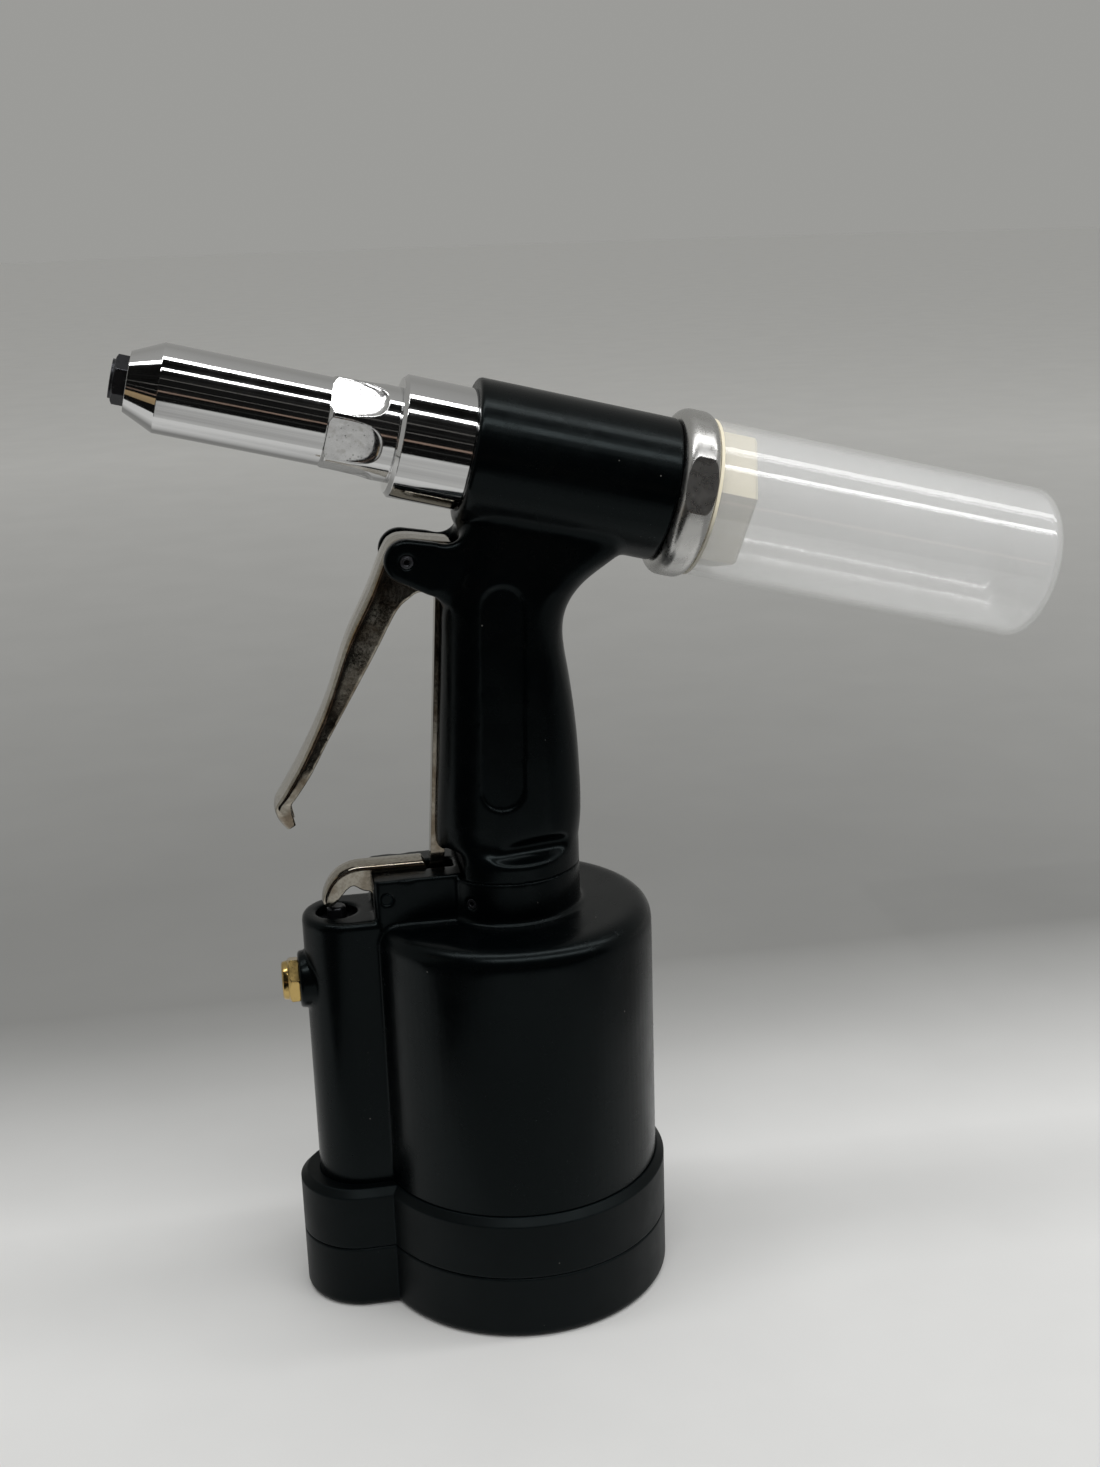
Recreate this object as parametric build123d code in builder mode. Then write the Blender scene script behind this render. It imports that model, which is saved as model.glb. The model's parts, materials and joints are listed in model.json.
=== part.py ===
from build123d import *
import os
from math import cos, hypot, radians, sin, sqrt

# Pneumatic riveter, in millimetres. It stands on its base at Z = 0, with the air cylinder's axis on Z
# and the nose towards -X. Y = 0 is its plane of symmetry.

# Clearances
fit_gap = 0.05
run_gap = 0.05
seat_gap = 0.3
free_gap = 0.4

# Air cylinder
cylinder_radius = 45.0
cylinder_wall = 3.0
cylinder_bottom = 10.0
cylinder_top = 128.2
top_plate = 6.2
shoulder_radius = 6.0
cap_bottom = 12.0
cap_thickness = 8.0
seal_groove = 3.2
seal_width = 3.0
snap_ring_depth = 1.2
snap_ring_thickness = 1.4
snap_ring_width = 4.0
snap_ring_split = 12.0
bumper_thickness = 3.0
bumper_radius = 30.0
bumper_bore = 12.0

# Base
base_overhang = 2.7
base_seam = 21.1
base_lip = 41.3
base_bevel = 2.2
base_edge = 2.5
seam_chamfer = 0.5
lug_offset = 1.0
lug_wall = 5.4
base_screw_count = 3
base_screw_circle = 28.0
base_screw_start = 60.0
base_screw_radius = 2.0
base_screw_head = 3.6
base_screw_seat = 4.0
base_screw_grip = 5.0
exhaust_slot = 2.4
exhaust_pitch = 4.4
exhaust_slots = 3

# Air piston and the ram that pumps the oil
air_piston_thickness = 10.0
stroke_room = 5.7
ram_radius = 6.3
ram_stub = 5.0
ram_rise = 3.5
nut_flats = 13.0
nut_height = 4.0
nut_recess = 9.0
nut_sink = 1.0
ram_edge = 1.0
gland_wall = 2.5
gland_drop = 3.0
gland_flange = 4.0
gland_seal = 2.5
gland_seal_height = 3.2

# Neck between cylinder and handle
neck_radius = 22.6
neck_rise = 13.5
neck_root = 1.5
spigot_radius = 14.5
set_screw_radius = 1.6
set_screw_rise = 6.4
set_screw_turn = 231.0
set_screw_socket = 2.4

# Valve column with its ports, the air inlet and the muffler
column_stand = 6.4
column_radius = 14.0
column_rise = 1.8
column_edge = 2.0
valve_web = 1.3
valve_bore = 6.5
valve_depth = 58.0
bush_drop = 12.0
bush_length = 9.0
stem_radius = 3.0
stem_rise = 1.6
stem_edge = 1.0
stem_seal = 1.8
stem_seal_height = 1.6
stem_seals_at = (1.6, 5.6)
upper_land = 4.2
lower_land_drop = 30.0
lower_land = 2.6
stem_tail = 13.4
transfer_radius = 1.6
transfer_port_radius = 1.4
muffler_offset = 5.6
muffler_radius = 5.5
muffler_gap = 14.0
muffler_room = 12.0
muffler_end_wall = 4.0
exhaust_radius = 2.5
inlet_drop = 22.0
boss_radius = 9.0
boss_reach = 2.3
boss_edge = 1.0
inlet_flats = 13.0
inlet_hex = 5.3
inlet_corner = 1.2
inlet_thread = 5.5
inlet_taper = 1 / 32
inlet_shank = 6.2
inlet_bore = 4.28
inlet_bore_depth = 9.0
inlet_passage = 3.0

# Valve lever, in the ears on the cylinder's shoulder
ear_set = 8.2
ear_rear = -16.0
ear_half = 13.5
ear_rise = 15.3
ear_corner = 2.0
ear_edge = 1.0
ear_slot_wall = 1.5
lever_pivot_set = 3.8
lever_pivot_rise = 8.8
lever_sheet = 1.5
lever_rise = 17.2
lever_bend = 10.5
lever_bend_turn = 80.0
lever_bend_set = 8.0
lever_arch = 8.0
lever_arch_half = 5.0
lever_bend_round = 1.2
lever_pin_radius = 1.75
lever_pin_inset = 0.3
foot_half = 2.0
foot_offset = 2.0

# Trigger, in the ears under the barrel. Its outline is measured from its pin.
pivot_reach = 27.7
pivot_drop = 28.2
trigger_half = 8.2
trigger_sheet = 1.8
trigger_crown = 6.2
trigger_edge = 1.4
trigger_pin_radius = 2.0
trigger_pin_bore = 1.2
crown_front_turn = 150.0
crown_back_turn = 82.0
trigger_front = ((-11.3, -9.8), (-18.3, -23.8), (-25.2, -40.7), (-35.5, -61.6), (-42.9, -74.6))
trigger_hook = ((-43.2, -76.9), (-39.5, -82.6), (-37.9, -81.5), (-40.5, -77.0))
trigger_back = ((-38.9, -71.8), (-31.7, -60.1), (-22.0, -45.0), (-12.5, -30.9), (-6.0, -19.5), (-1.3, -11.6))
trigger_tail = ((10.7, -8.6), (14.5, -4.8), (14.1, 4.2))
toe_radius = 2.2
hollow_stop = (-38.9, -70.0)
hollow_depth = (1.57, -0.89)

# Pull rod that joins trigger and lever
rod_foot_x = -23.8
rod_foot_rise = 6.4
rod_top_set = (10.9, -2.8)
rod_half = 2.3
rod_thickness = 2.8
rod_foot_thickness = 4.4
rod_foot_height = 19.0
rod_eye = 3.3
rod_pin_radius = 1.5
rod_pin_play = 0.3

# Handle: front, rear, width and corner radius at even steps up from the neck
handle_rise = 127.3
handle_start = 4.3
handle_step = 9.0
handle_rows = (
    (-21.4, 21.4, 36.2, 16.0),
    (-22.4, 22.7, 36.2, 14.8),
    (-21.8, 23.0, 35.8, 13.8),
    (-21.1, 22.8, 35.4, 13.2),
    (-20.4, 22.4, 35.0, 12.8),
    (-19.8, 21.7, 34.5, 12.6),
    (-19.1, 20.7, 34.1, 12.4),
    (-18.5, 19.4, 33.6, 12.2),
    (-17.9, 19.0, 33.1, 12.0),
    (-17.2, 22.6, 32.6, 12.0),
    (-15.2, 34.0, 31.6, 12.4),
    (-12.6, 43.5, 30.0, 12.6),
    (-10.0, 46.0, 28.0, 12.0),
)
side_rows = (3, 8)
scoop_foot = 7.4
scoop_top = 12.3
scoop_depth = 0.7
flange_rise = 12.8
flange_taper = 4.5
flange_draw = 2.1
notch_x = -15.5
notch_rise = 8.3
oil_gap = 1.7
oil_room = 8.0
oil_port = 4.0
recess_width = 13.8
recess_foot = 22.0
recess_head = 36.3
recess_x = -1.75
recess_lean = 2.2
recess_depth = 0.8
groove_side = 0.6
groove_floor_gap = 0.6

# Ears for the trigger, measured from its pin
frame_ear_radius = 6.6
frame_ear_half = 12.5
frame_ear_edge = 1.6
ear_brow = (0.9, 6.5)
ear_heel = (11.7, 4.6)
ear_throat = (18.2, 9.7)
ear_throat_radius = 6.5
ear_root = 31.7
ear_chin = (10.2, -14.3)
ear_lip = (8.3, -11.5)
ear_jaw = (-4.0, -5.3)
slot_rear = 16.2
slot_floor = -11.8
slot_top = 10.2

# Barrel, measured along its own axis from where it crosses the cylinder's axis, nose positive
tilt = 14.4
barrel_radius = 21.6
barrel_front = 8.0
barrel_rear = -53.4
barrel_edge = 1.2
barrel_bore = 16.5

# Head collar, frame head and nosepiece, from rear to front
collar_stand = 1.6
collar_length = 21.5
collar_chamfer = 1.2
collar_spigot = 7.2
collar_gland = 15.0
head_room = 0.5
head_spigot_wall = 2.25
head_spigot = 11.5
head_seal = 2.6
head_seal_height = 3.0
head_seal_set = 3.0
head_neck_stand = 1.1
head_neck_length = 18.9
head_step = 1.3
head_wall = 2.75
head_tube_length = 47.7
head_cone_length = 8.9
head_front_radius = 8.7
head_bore_stop = 12.3
head_flat_depth = 1.65
head_flat_length = 14.5
head_flat_end = 8.0
head_flat_turn = 13.7
nose_thread = 5.0
nose_flats = 12.4
nose_hex = 3.8
nose_corner = 1.0
nose_collar_radius = 5.6
nose_collar = 0.8
nose_bore = 2.15
nose_tail_radius = 3.3
nose_tail = 18.3
nose_shank = 12.0

# Pull piston and what it carries
pull_rest_gap = 8.0
pull_thickness = 10.0
pull_seal_width = 4.0
pull_rod_radius = 9.0
pull_rod_reach = 4.5
stub_radius = 6.0
stub_length = 13.0
mandrel_bore = 4.0
guide_radius = 5.45
guide_wall = 1.2
guide_socket = 5.8
guide_reach = 18.3
lock_nut_flats = 16.0
lock_nut_length = 3.0
jaw_case_radius = 9.7
jaw_case_gap = 3.0
jaw_chamber = 7.0
jaw_cone_length = 19.0
jaw_mouth = 4.2
jaw_mouth_length = 2.0
jaw_clearance = 0.3
jaw_set = 4.5
jaw_length = 14.5
jaw_bore = 2.3
jaw_count = 3
jaw_split_turn = 12.0
pusher_length = 10.5
pusher_bore = 2.6

# Rear cap, bottle adapter and mandrel bottle, from front to rear
cap_length = 10.4
cap_step = 0.8
cap_front_rise = 2.9
cap_front_round = 3.6
cap_rear_inset = 0.3
cap_rear_rise = 1.7
cap_rear_round = 3.2
cap_spigot = 8.4
cap_flat_depth = 1.4
cap_flat_turn = 13.7
cap_socket = 6.4
adapter_lip = 0.1
adapter_flange = 1.0
adapter_thread = 14.0
adapter_length = 12.2
adapter_edge = 1.0
adapter_turn = 13.5
bottle_radius = 23.7
bottle_wall = 1.5
bottle_length = 111.7
bottle_edge = 5.0

# Springs, as the sleeves that their coils fill
return_spring_wire = 2.6
valve_spring_wire = 1.1
jaw_spring_wire = 1.0

# Heights and places that follow
cylinder_bore = cylinder_radius - cylinder_wall
plate_under = cylinder_top - top_plate
cap_top = cap_bottom + cap_thickness
snap_bottom = cap_bottom - snap_ring_thickness
snap_groove = cylinder_bore + snap_ring_depth
snap_inner = snap_groove - snap_ring_width
cap_seal_bottom = (cap_bottom + cap_top - seal_width) / 2
seal_floor = cylinder_bore - seal_groove
base_radius = cylinder_radius + base_overhang
base_screw_end = cap_bottom + base_screw_grip
piston_rest = cap_top + bumper_thickness + seat_gap
piston_top = piston_rest + air_piston_thickness
air_stroke = plate_under - gland_drop - stroke_room - piston_top
piston_seal_bottom = (piston_rest + piston_top - seal_width) / 2
nut_seat = piston_rest + nut_height + nut_sink
neck_seam = cylinder_top + neck_rise
gland_seat = cylinder_top + seat_gap
gland_top = gland_seat + gland_flange
gland_seal_radius = ram_radius + gland_seal_height
gland_radius = gland_seal_radius + gland_wall
oil_bore = ram_radius + oil_gap
ram_top = gland_top + ram_rise
axis_height = neck_seam + handle_rise
column_x = -(cylinder_radius + column_stand)
column_top = cylinder_top + column_rise
lug_x = column_x - lug_offset
lug_radius = column_radius + lug_wall
transfer_x = -(cylinder_radius + cylinder_bore) / 2 - transfer_radius
valve_x = transfer_x - transfer_radius - valve_web - valve_bore
valve_bottom = column_top - valve_depth
bush_bottom = column_top - bush_drop
bush_top = bush_bottom + bush_length
stem_seal_radius = stem_radius + stem_seal_height
upper_land_top = bush_bottom - seat_gap
lower_land_top = column_top - lower_land_drop
lower_land_under = lower_land_top - lower_land
port_height = lower_land_under
port_foot = cap_top + transfer_port_radius
muffler_x = column_x - muffler_offset
muffler_top = valve_bottom - muffler_gap
inlet_height = column_top - inlet_drop
boss_face = column_radius + boss_reach - column_x
ear_front = column_x + ear_set
ear_top = cylinder_top + ear_rise
lever_pivot = (ear_front + lever_pivot_set, cylinder_top + lever_pivot_rise)
lever_half = rod_half + seat_gap + lever_sheet
ear_slot_half = lever_half + seat_gap
lever_crown = cylinder_top + lever_rise
foot_x = valve_x - foot_offset
foot_bottom = column_top + stem_rise + seat_gap
lever_bend_x = foot_x + lever_bend_set
rod_foot = (rod_foot_x, cylinder_top + rod_foot_rise)
pivot_x = -pivot_reach
pivot_z = axis_height - pivot_drop
rod_top = (pivot_x + rod_top_set[0], pivot_z + rod_top_set[1])
rod_length = hypot(rod_top[0] - rod_foot[0], rod_top[1] - rod_foot[1])
groove_floor = rod_foot_thickness - rod_thickness / 2 + groove_floor_gap
oil_bore_top = ram_top + air_stroke + oil_room
collar_radius = barrel_bore + collar_stand
collar_rear = barrel_front - collar_spigot
collar_front = barrel_front + collar_length
gland_front = collar_rear + collar_gland
head_rear = collar_front - head_spigot
head_seal_radius = pull_rod_radius + head_seal_height
head_bore = max(jaw_case_radius, pull_rod_radius) + head_room
head_spigot_radius = head_bore + head_spigot_wall
head_tube_radius = head_bore + head_wall
head_neck_radius = head_tube_radius + head_neck_stand
head_flat = head_neck_radius - head_flat_depth
head_neck_front = collar_front + head_neck_length
head_tube_rear = head_neck_front + head_step
head_cone_rear = head_tube_rear + head_tube_length
head_front = head_cone_rear + head_cone_length
head_bore_front = head_front - head_bore_stop
pull_face = collar_rear - pull_rest_gap
pull_rear = pull_face - pull_thickness
pull_rod_front = collar_front + pull_rod_reach
stub_end = pull_rod_front + stub_length
lock_nut_rear = pull_rod_front + seat_gap
case_rear = lock_nut_rear + lock_nut_length
case_front = head_bore_front - jaw_case_gap
cone_front = case_front - jaw_mouth_length
cone_rear = cone_front - jaw_cone_length
jaw_front = case_front - jaw_set
jaw_rear = jaw_front - jaw_length
pusher_front = jaw_rear - free_gap
pusher_rear = pusher_front - pusher_length
jaw_taper = (jaw_chamber - jaw_mouth) / jaw_cone_length
jaw_rear_radius = jaw_chamber - jaw_taper * (jaw_rear - cone_rear) - jaw_clearance
adapter_radius = bottle_radius + adapter_lip
cap_front_radius = barrel_radius + cap_step
cap_rear_radius = adapter_radius - cap_rear_inset
cap_crest = max(cap_front_radius + cap_front_rise, cap_rear_radius + cap_rear_rise)
cap_flat = cap_crest - cap_flat_depth
cap_rear = barrel_rear - cap_length
cap_spigot_end = barrel_rear + cap_spigot
bottle_mouth = cap_rear - adapter_flange
bottle_bore = bottle_radius - bottle_wall
bottle_end = bottle_mouth - bottle_length
adapter_end = bottle_mouth - adapter_length
adapter_flats = 2 * (bottle_bore - 2 * run_gap) * cos(radians(30))
guide_front = pull_rear + guide_socket
guide_end = bottle_mouth - guide_reach

# Planes: on a turning plane, local X runs along the axis and local Y is the radius
nose_way = Vector(-cos(radians(tilt)), 0, sin(radians(tilt)))
over_way = Vector(sin(radians(tilt)), 0, cos(radians(tilt)))
barrel_origin = (0, 0, axis_height)
barrel_side = Plane(origin=barrel_origin, x_dir=nose_way, z_dir=(0, 1, 0))
barrel_face = Plane(origin=barrel_origin, x_dir=over_way, z_dir=nose_way)
middle = Plane.XZ
inlet_side = Plane(origin=(0, 0, inlet_height), x_dir=(-1, 0, 0), z_dir=(0, 1, 0))
inlet_face = Plane(origin=(0, 0, inlet_height), x_dir=(0, 0, 1), z_dir=(-1, 0, 0))
rod_side = Plane(
    origin=(rod_foot[0], 0, rod_foot[1]),
    x_dir=(rod_top[0] - rod_foot[0], 0, rod_top[1] - rod_foot[1]),
    z_dir=(0, 1, 0),
)
screw_way = (cos(radians(set_screw_turn)), sin(radians(set_screw_turn)), 0)
screw_side = Plane(origin=(0, 0, cylinder_top + set_screw_rise), x_dir=screw_way, z_dir=(0, 0, 1))


def standing(x, y=0.0):
    """A turning plane for an upright axis at a place on the floor."""
    return Plane(origin=(x, y, 0), x_dir=(0, 0, 1), z_dir=(0, 1, 0))


upright = standing(0)
valve_side = standing(valve_x)
muffler_side = standing(muffler_x)


def lying(height):
    """A turning plane for an axis that runs forwards, at a height."""
    return Plane(origin=(0, 0, height), x_dir=(-1, 0, 0), z_dir=(0, 1, 0))


def from_pin(*points):
    """Places in the plane of symmetry, given from the trigger's pin."""
    return [(pivot_x + x, pivot_z + z) for x, z in points]


def round_pin(radius, turned):
    """A place on a circle about the trigger's pin."""
    return (pivot_x + radius * cos(radians(turned)), pivot_z + radius * sin(radians(turned)))


def outline(plane, *points):
    """A closed profile of straight runs on a plane."""
    with BuildSketch(plane) as profile:
        with BuildLine():
            Polyline(*points, close=True)
        make_face()
    return profile.sketch


def turn(plane, *points, mode=Mode.ADD):
    """Turns a profile of (along, radius) points about the plane's own X axis."""
    revolve(outline(plane, *points), axis=Axis(plane.origin, plane.x_dir), mode=mode)


def turn_ring(plane, start, end, inner, outer, mode=Mode.ADD):
    """Turns a plain ring, or a rod where its inner radius is 0."""
    turn(plane, (start, inner), (end, inner), (end, outer), (start, outer), mode=mode)


def bar_across(place, radius, half, mode=Mode.ADD):
    """A round bar along Y through a place in the plane of symmetry."""
    with BuildSketch(middle) as section:
        with Locations(place):
            Circle(radius)
    extrude(section.sketch, amount=half, both=True, mode=mode)


def hexagon(plane, flats, length, turned=0.0):
    """A hexagonal bar that stands on a plane."""
    with BuildSketch(plane) as section:
        RegularPolygon(flats / 2, 6, major_radius=False, rotation=turned)
    extrude(section.sketch, amount=length)


def turn_off_corners(plane, end, flats, slope):
    """Turns the corners off a hexagon's end, which faces along the axis where the slope is positive."""
    corner = flats / sqrt(3)
    turn(plane, (end, flats / 2), (end, 2 * corner - flats / 2), (end - slope, 2 * corner - flats / 2),
         (end - slope / 2, corner), mode=Mode.SUBTRACT)


def base_outline(plane):
    """The base seen from above: the round cover and the lug round the valve column."""
    with BuildSketch(plane) as shape:
        Circle(base_radius)
        with Locations((lug_x, 0)):
            Circle(lug_radius)
        with Locations((lug_x / 2, 0)):
            Rectangle(-lug_x, 2 * lug_radius)
    return shape.sketch


def column_outline(plane, grow=0.0):
    """The valve column seen from above, run back into the cylinder's wall."""
    with BuildSketch(plane) as shape:
        with Locations((column_x, 0)):
            Circle(column_radius + grow)
            run = column_stand + cylinder_wall
            Rectangle(run, 2 * (column_radius + grow), align=(Align.MIN, Align.CENTER))
    return shape.sketch


def edges_at(block, axis, *places):
    """The edges that lie square to an axis at some places along it."""
    found = ShapeList()
    for place in places:
        found += block.edges().filter_by_position(axis, place - fit_gap, place + fit_gap)
    return found


# Main frame: barrel, handle and the trigger's ears in one casting

handle_sections = [
    (neck_seam + handle_start + handle_step * row, *section) for row, section in enumerate(handle_rows)
]
side_low, side_high = [handle_sections[row] for row in side_rows]
side_draft = (side_low[3] - side_high[3]) / 2 / (side_high[0] - side_low[0])
recess_top = axis_height - recess_head
recess_bottom = neck_seam + recess_foot
recess_z = (recess_top + recess_bottom) / 2
recess_y = side_low[3] / 2 - side_draft * (recess_z - side_low[0]) - recess_depth
scoop_half = handle_rows[0][2] / 2 - scoop_depth
scoop_bottom = neck_seam + scoop_foot
scoop_head = neck_seam + scoop_top
flange_top = neck_seam + flange_rise

with BuildPart() as main_frame:
    with BuildSketch(middle):
        with BuildLine():
            brow = Line(*from_pin(ear_brow, ear_heel))
            throat = RadiusArc(brow @ 1, from_pin(ear_throat)[0], -ear_throat_radius)
            root_top = (ear_root, ear_throat[1])
            root_foot = (ear_root, ear_chin[1])
            root = Polyline(throat @ 1, *from_pin(root_top, root_foot, ear_chin, ear_lip))
            cheek = Line(root @ 1, from_pin(ear_jaw)[0])
            RadiusArc(cheek @ 1, brow @ 0, frame_ear_radius)
        make_face()
    extrude(amount=frame_ear_half, both=True)
    fillet(edges_at(main_frame, Axis.Y, -frame_ear_half, frame_ear_half), radius=frame_ear_edge)
    turn(
        upright,
        (neck_seam, 0), (neck_seam, neck_radius), (flange_top - flange_taper, neck_radius),
        (flange_top, neck_radius - flange_draw), (flange_top, 0),
    )
    for side in (-1, 1):
        with BuildSketch(Plane.YZ):
            with BuildLine():
                cove = TangentArc(
                    (side * scoop_half, scoop_head), (side * neck_radius, scoop_bottom), tangent=(0, -1)
                )
                outside = side * 2 * neck_radius
                Polyline(
                    cove @ 1, (outside, scoop_bottom), (outside, flange_top),
                    (side * scoop_half, flange_top), cove @ 0,
                )
            make_face()
        extrude(amount=neck_radius, both=True, mode=Mode.SUBTRACT)
    for height, front, rear, width, corner in handle_sections:
        with BuildSketch(Plane.XY.offset(height)):
            with Locations(((front + rear) / 2, 0)):
                RectangleRounded(rear - front, width, corner)
    loft()
    slot_open = -2 * frame_ear_radius
    slot_back = from_pin((slot_rear, slot_floor), (slot_rear, slot_top))
    slot = outline(middle, *slot_back, *from_pin((slot_open, slot_top), (slot_open, slot_floor)))
    extrude(slot, amount=trigger_half + free_gap, both=True, mode=Mode.SUBTRACT)
    with BuildSketch(barrel_side):
        with BuildLine():
            crest_rear = (barrel_rear + barrel_edge, barrel_radius)
            crest = Line(crest_rear, (barrel_front - barrel_edge, barrel_radius))
            front_round = JernArc(crest @ 1, (1, 0), barrel_edge, -90)
            rear_round = JernArc(crest @ 0, (-1, 0), barrel_edge, 90)
            Polyline(front_round @ 1, (barrel_front, 0), (barrel_rear, 0), rear_round @ 1)
        make_face()
    revolve(axis=Axis(barrel_side.origin, barrel_side.x_dir))
    turn_ring(upright, gland_top + fit_gap, neck_seam, 0, spigot_radius)
    notch_top = neck_seam + notch_rise
    notch_open = -2 * neck_radius
    notch = outline(
        middle,
        (notch_x, gland_top), (notch_x, notch_top), (notch_open, notch_top), (notch_open, gland_top),
    )
    extrude(notch, amount=neck_radius, both=True, mode=Mode.SUBTRACT)
    with BuildSketch(rod_side):
        with Locations((rod_length / 2, groove_floor)):
            Rectangle(rod_length, neck_radius, align=(Align.CENTER, Align.MAX))
    extrude(amount=rod_half + groove_side, both=True, mode=Mode.SUBTRACT)
    for side in (-1, 1):
        recess_place = (recess_x, side * recess_y, recess_z)
        recess_face = Plane(origin=recess_place, x_dir=(1, 0, 0), z_dir=(0, side, side_draft))
        with BuildSketch(recess_face):
            SlotOverall(recess_top - recess_bottom, recess_width, rotation=side * (recess_lean - 90))
        extrude(amount=recess_width / 2, mode=Mode.SUBTRACT)
    turn_ring(barrel_side, barrel_rear, barrel_front, 0, barrel_bore, mode=Mode.SUBTRACT)
    turn_ring(upright, gland_top, oil_bore_top, 0, oil_bore, mode=Mode.SUBTRACT)
    turn_ring(upright, oil_bore_top, axis_height - barrel_bore, 0, oil_port, mode=Mode.SUBTRACT)
    bar_across((pivot_x, pivot_z), trigger_pin_radius + fit_gap, frame_ear_half, mode=Mode.SUBTRACT)

# Air cylinder with its neck, the valve column and the lever's ears in one casting

with BuildPart() as cylinder_body:
    extrude(column_outline(Plane.XY.offset(cap_bottom)), amount=column_top - cap_bottom)
    fillet(edges_at(cylinder_body, Axis.Z, column_top), radius=column_edge)
    with BuildSketch(Plane.XY.offset(plate_under)):
        with Locations(((ear_front + ear_rear) / 2, 0)):
            RectangleRounded(ear_rear - ear_front, 2 * ear_half, ear_corner)
    extrude(amount=ear_top - plate_under)
    fillet(edges_at(cylinder_body, Axis.Z, ear_top), radius=ear_edge)
    turn_ring(inlet_side, -column_x, boss_face, 0, boss_radius)
    fillet(edges_at(cylinder_body, Axis.X, -boss_face), radius=boss_edge)
    with BuildSketch(upright):
        with BuildLine():
            wall = Line((cylinder_bottom, cylinder_radius), (cylinder_top - shoulder_radius, cylinder_radius))
            shoulder = JernArc(wall @ 1, (1, 0), shoulder_radius, -90)
            deck = Line(shoulder @ 1, (cylinder_top, neck_radius + neck_root))
            root = JernArc(deck @ 1, (0, -1), neck_root, 90)
            Polyline(root @ 1, (neck_seam, neck_radius), (neck_seam, 0), (cylinder_bottom, 0), wall @ 0)
        make_face()
    revolve(axis=Axis.Z)
    turn_ring(upright, cylinder_bottom, plate_under, 0, cylinder_bore, mode=Mode.SUBTRACT)
    turn_ring(upright, plate_under, gland_seat, 0, gland_radius + fit_gap, mode=Mode.SUBTRACT)
    turn_ring(upright, gland_seat, ear_top, 0, spigot_radius + fit_gap, mode=Mode.SUBTRACT)
    turn_ring(upright, snap_bottom, cap_bottom, 0, snap_groove, mode=Mode.SUBTRACT)
    slot_end = ear_rear - ear_slot_wall
    slot = outline(
        middle,
        (slot_end, column_top), (slot_end, ear_top), (ear_front, ear_top), (ear_front, column_top),
    )
    extrude(slot, amount=ear_slot_half, both=True, mode=Mode.SUBTRACT)
    bar_across(lever_pivot, lever_pin_radius + fit_gap, ear_half, mode=Mode.SUBTRACT)
    turn_ring(valve_side, valve_bottom, column_top, 0, valve_bore, mode=Mode.SUBTRACT)
    seat_depth = boss_face + valve_x
    turn(
        inlet_side,
        (-valve_x, 0), (-valve_x, inlet_thread - inlet_taper * seat_depth),
        (boss_face, inlet_thread), (boss_face, 0),
        mode=Mode.SUBTRACT,
    )
    turn_ring(muffler_side, cap_bottom, muffler_top, 0, muffler_radius, mode=Mode.SUBTRACT)
    turn_ring(muffler_side, muffler_top, valve_bottom, 0, exhaust_radius, mode=Mode.SUBTRACT)
    turn_ring(standing(transfer_x), cap_top, port_height, 0, transfer_radius, mode=Mode.SUBTRACT)
    turn_ring(lying(port_height), -transfer_x, -valve_x, 0, transfer_port_radius, mode=Mode.SUBTRACT)
    port_start = cylinder_bore - cylinder_wall
    turn_ring(lying(port_foot), port_start, -transfer_x, 0, transfer_port_radius, mode=Mode.SUBTRACT)
    turn_ring(screw_side, spigot_radius, neck_radius, 0, set_screw_radius + fit_gap, mode=Mode.SUBTRACT)

with BuildPart() as neck_set_screw:
    turn_ring(screw_side, spigot_radius + fit_gap, neck_radius - free_gap, 0, set_screw_radius)
    socket_floor = neck_radius - set_screw_socket
    turn_ring(screw_side, socket_floor, neck_radius, 0, set_screw_radius / 2, mode=Mode.SUBTRACT)

# Base: ring, cover, screws, and the cap that closes the cylinder

with BuildPart() as base_ring:
    extrude(base_outline(Plane.XY.offset(base_seam)), amount=base_lip - base_seam)
    chamfer(edges_at(base_ring, Axis.Z, base_lip), length=base_bevel)
    chamfer(edges_at(base_ring, Axis.Z, base_seam), length=seam_chamfer)
    turn_ring(upright, base_seam, base_lip, 0, cylinder_radius + fit_gap, mode=Mode.SUBTRACT)
    hollow = column_outline(Plane.XY.offset(base_seam), fit_gap)
    extrude(hollow, amount=base_lip - base_seam, mode=Mode.SUBTRACT)

with BuildPart() as base_cover:
    extrude(base_outline(Plane.XY), amount=base_seam)
    fillet(edges_at(base_cover, Axis.Z, 0), radius=base_edge)
    chamfer(edges_at(base_cover, Axis.Z, base_seam), length=seam_chamfer)
    turn_ring(upright, cylinder_bottom, base_seam, 0, cylinder_radius + fit_gap, mode=Mode.SUBTRACT)
    hollow = column_outline(Plane.XY.offset(cap_bottom), fit_gap)
    extrude(hollow, amount=base_seam - cap_bottom, mode=Mode.SUBTRACT)
    turn_ring(upright, cylinder_bottom, cap_bottom, 0, snap_inner - free_gap)
    with BuildSketch(Plane.XY):
        with PolarLocations(base_screw_circle, base_screw_count, base_screw_start):
            Circle(base_screw_head + free_gap)
    extrude(amount=base_screw_seat, mode=Mode.SUBTRACT)
    with BuildSketch(Plane.XY):
        with PolarLocations(base_screw_circle, base_screw_count, base_screw_start):
            Circle(base_screw_radius + fit_gap)
    extrude(amount=cap_bottom, mode=Mode.SUBTRACT)
    with BuildSketch(Plane.XY):
        with Locations((muffler_x, 0)):
            with GridLocations(exhaust_pitch, 0, exhaust_slots, 1):
                SlotOverall(2 * muffler_radius, exhaust_slot, rotation=90)
    extrude(amount=cap_bottom, mode=Mode.SUBTRACT)

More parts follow.
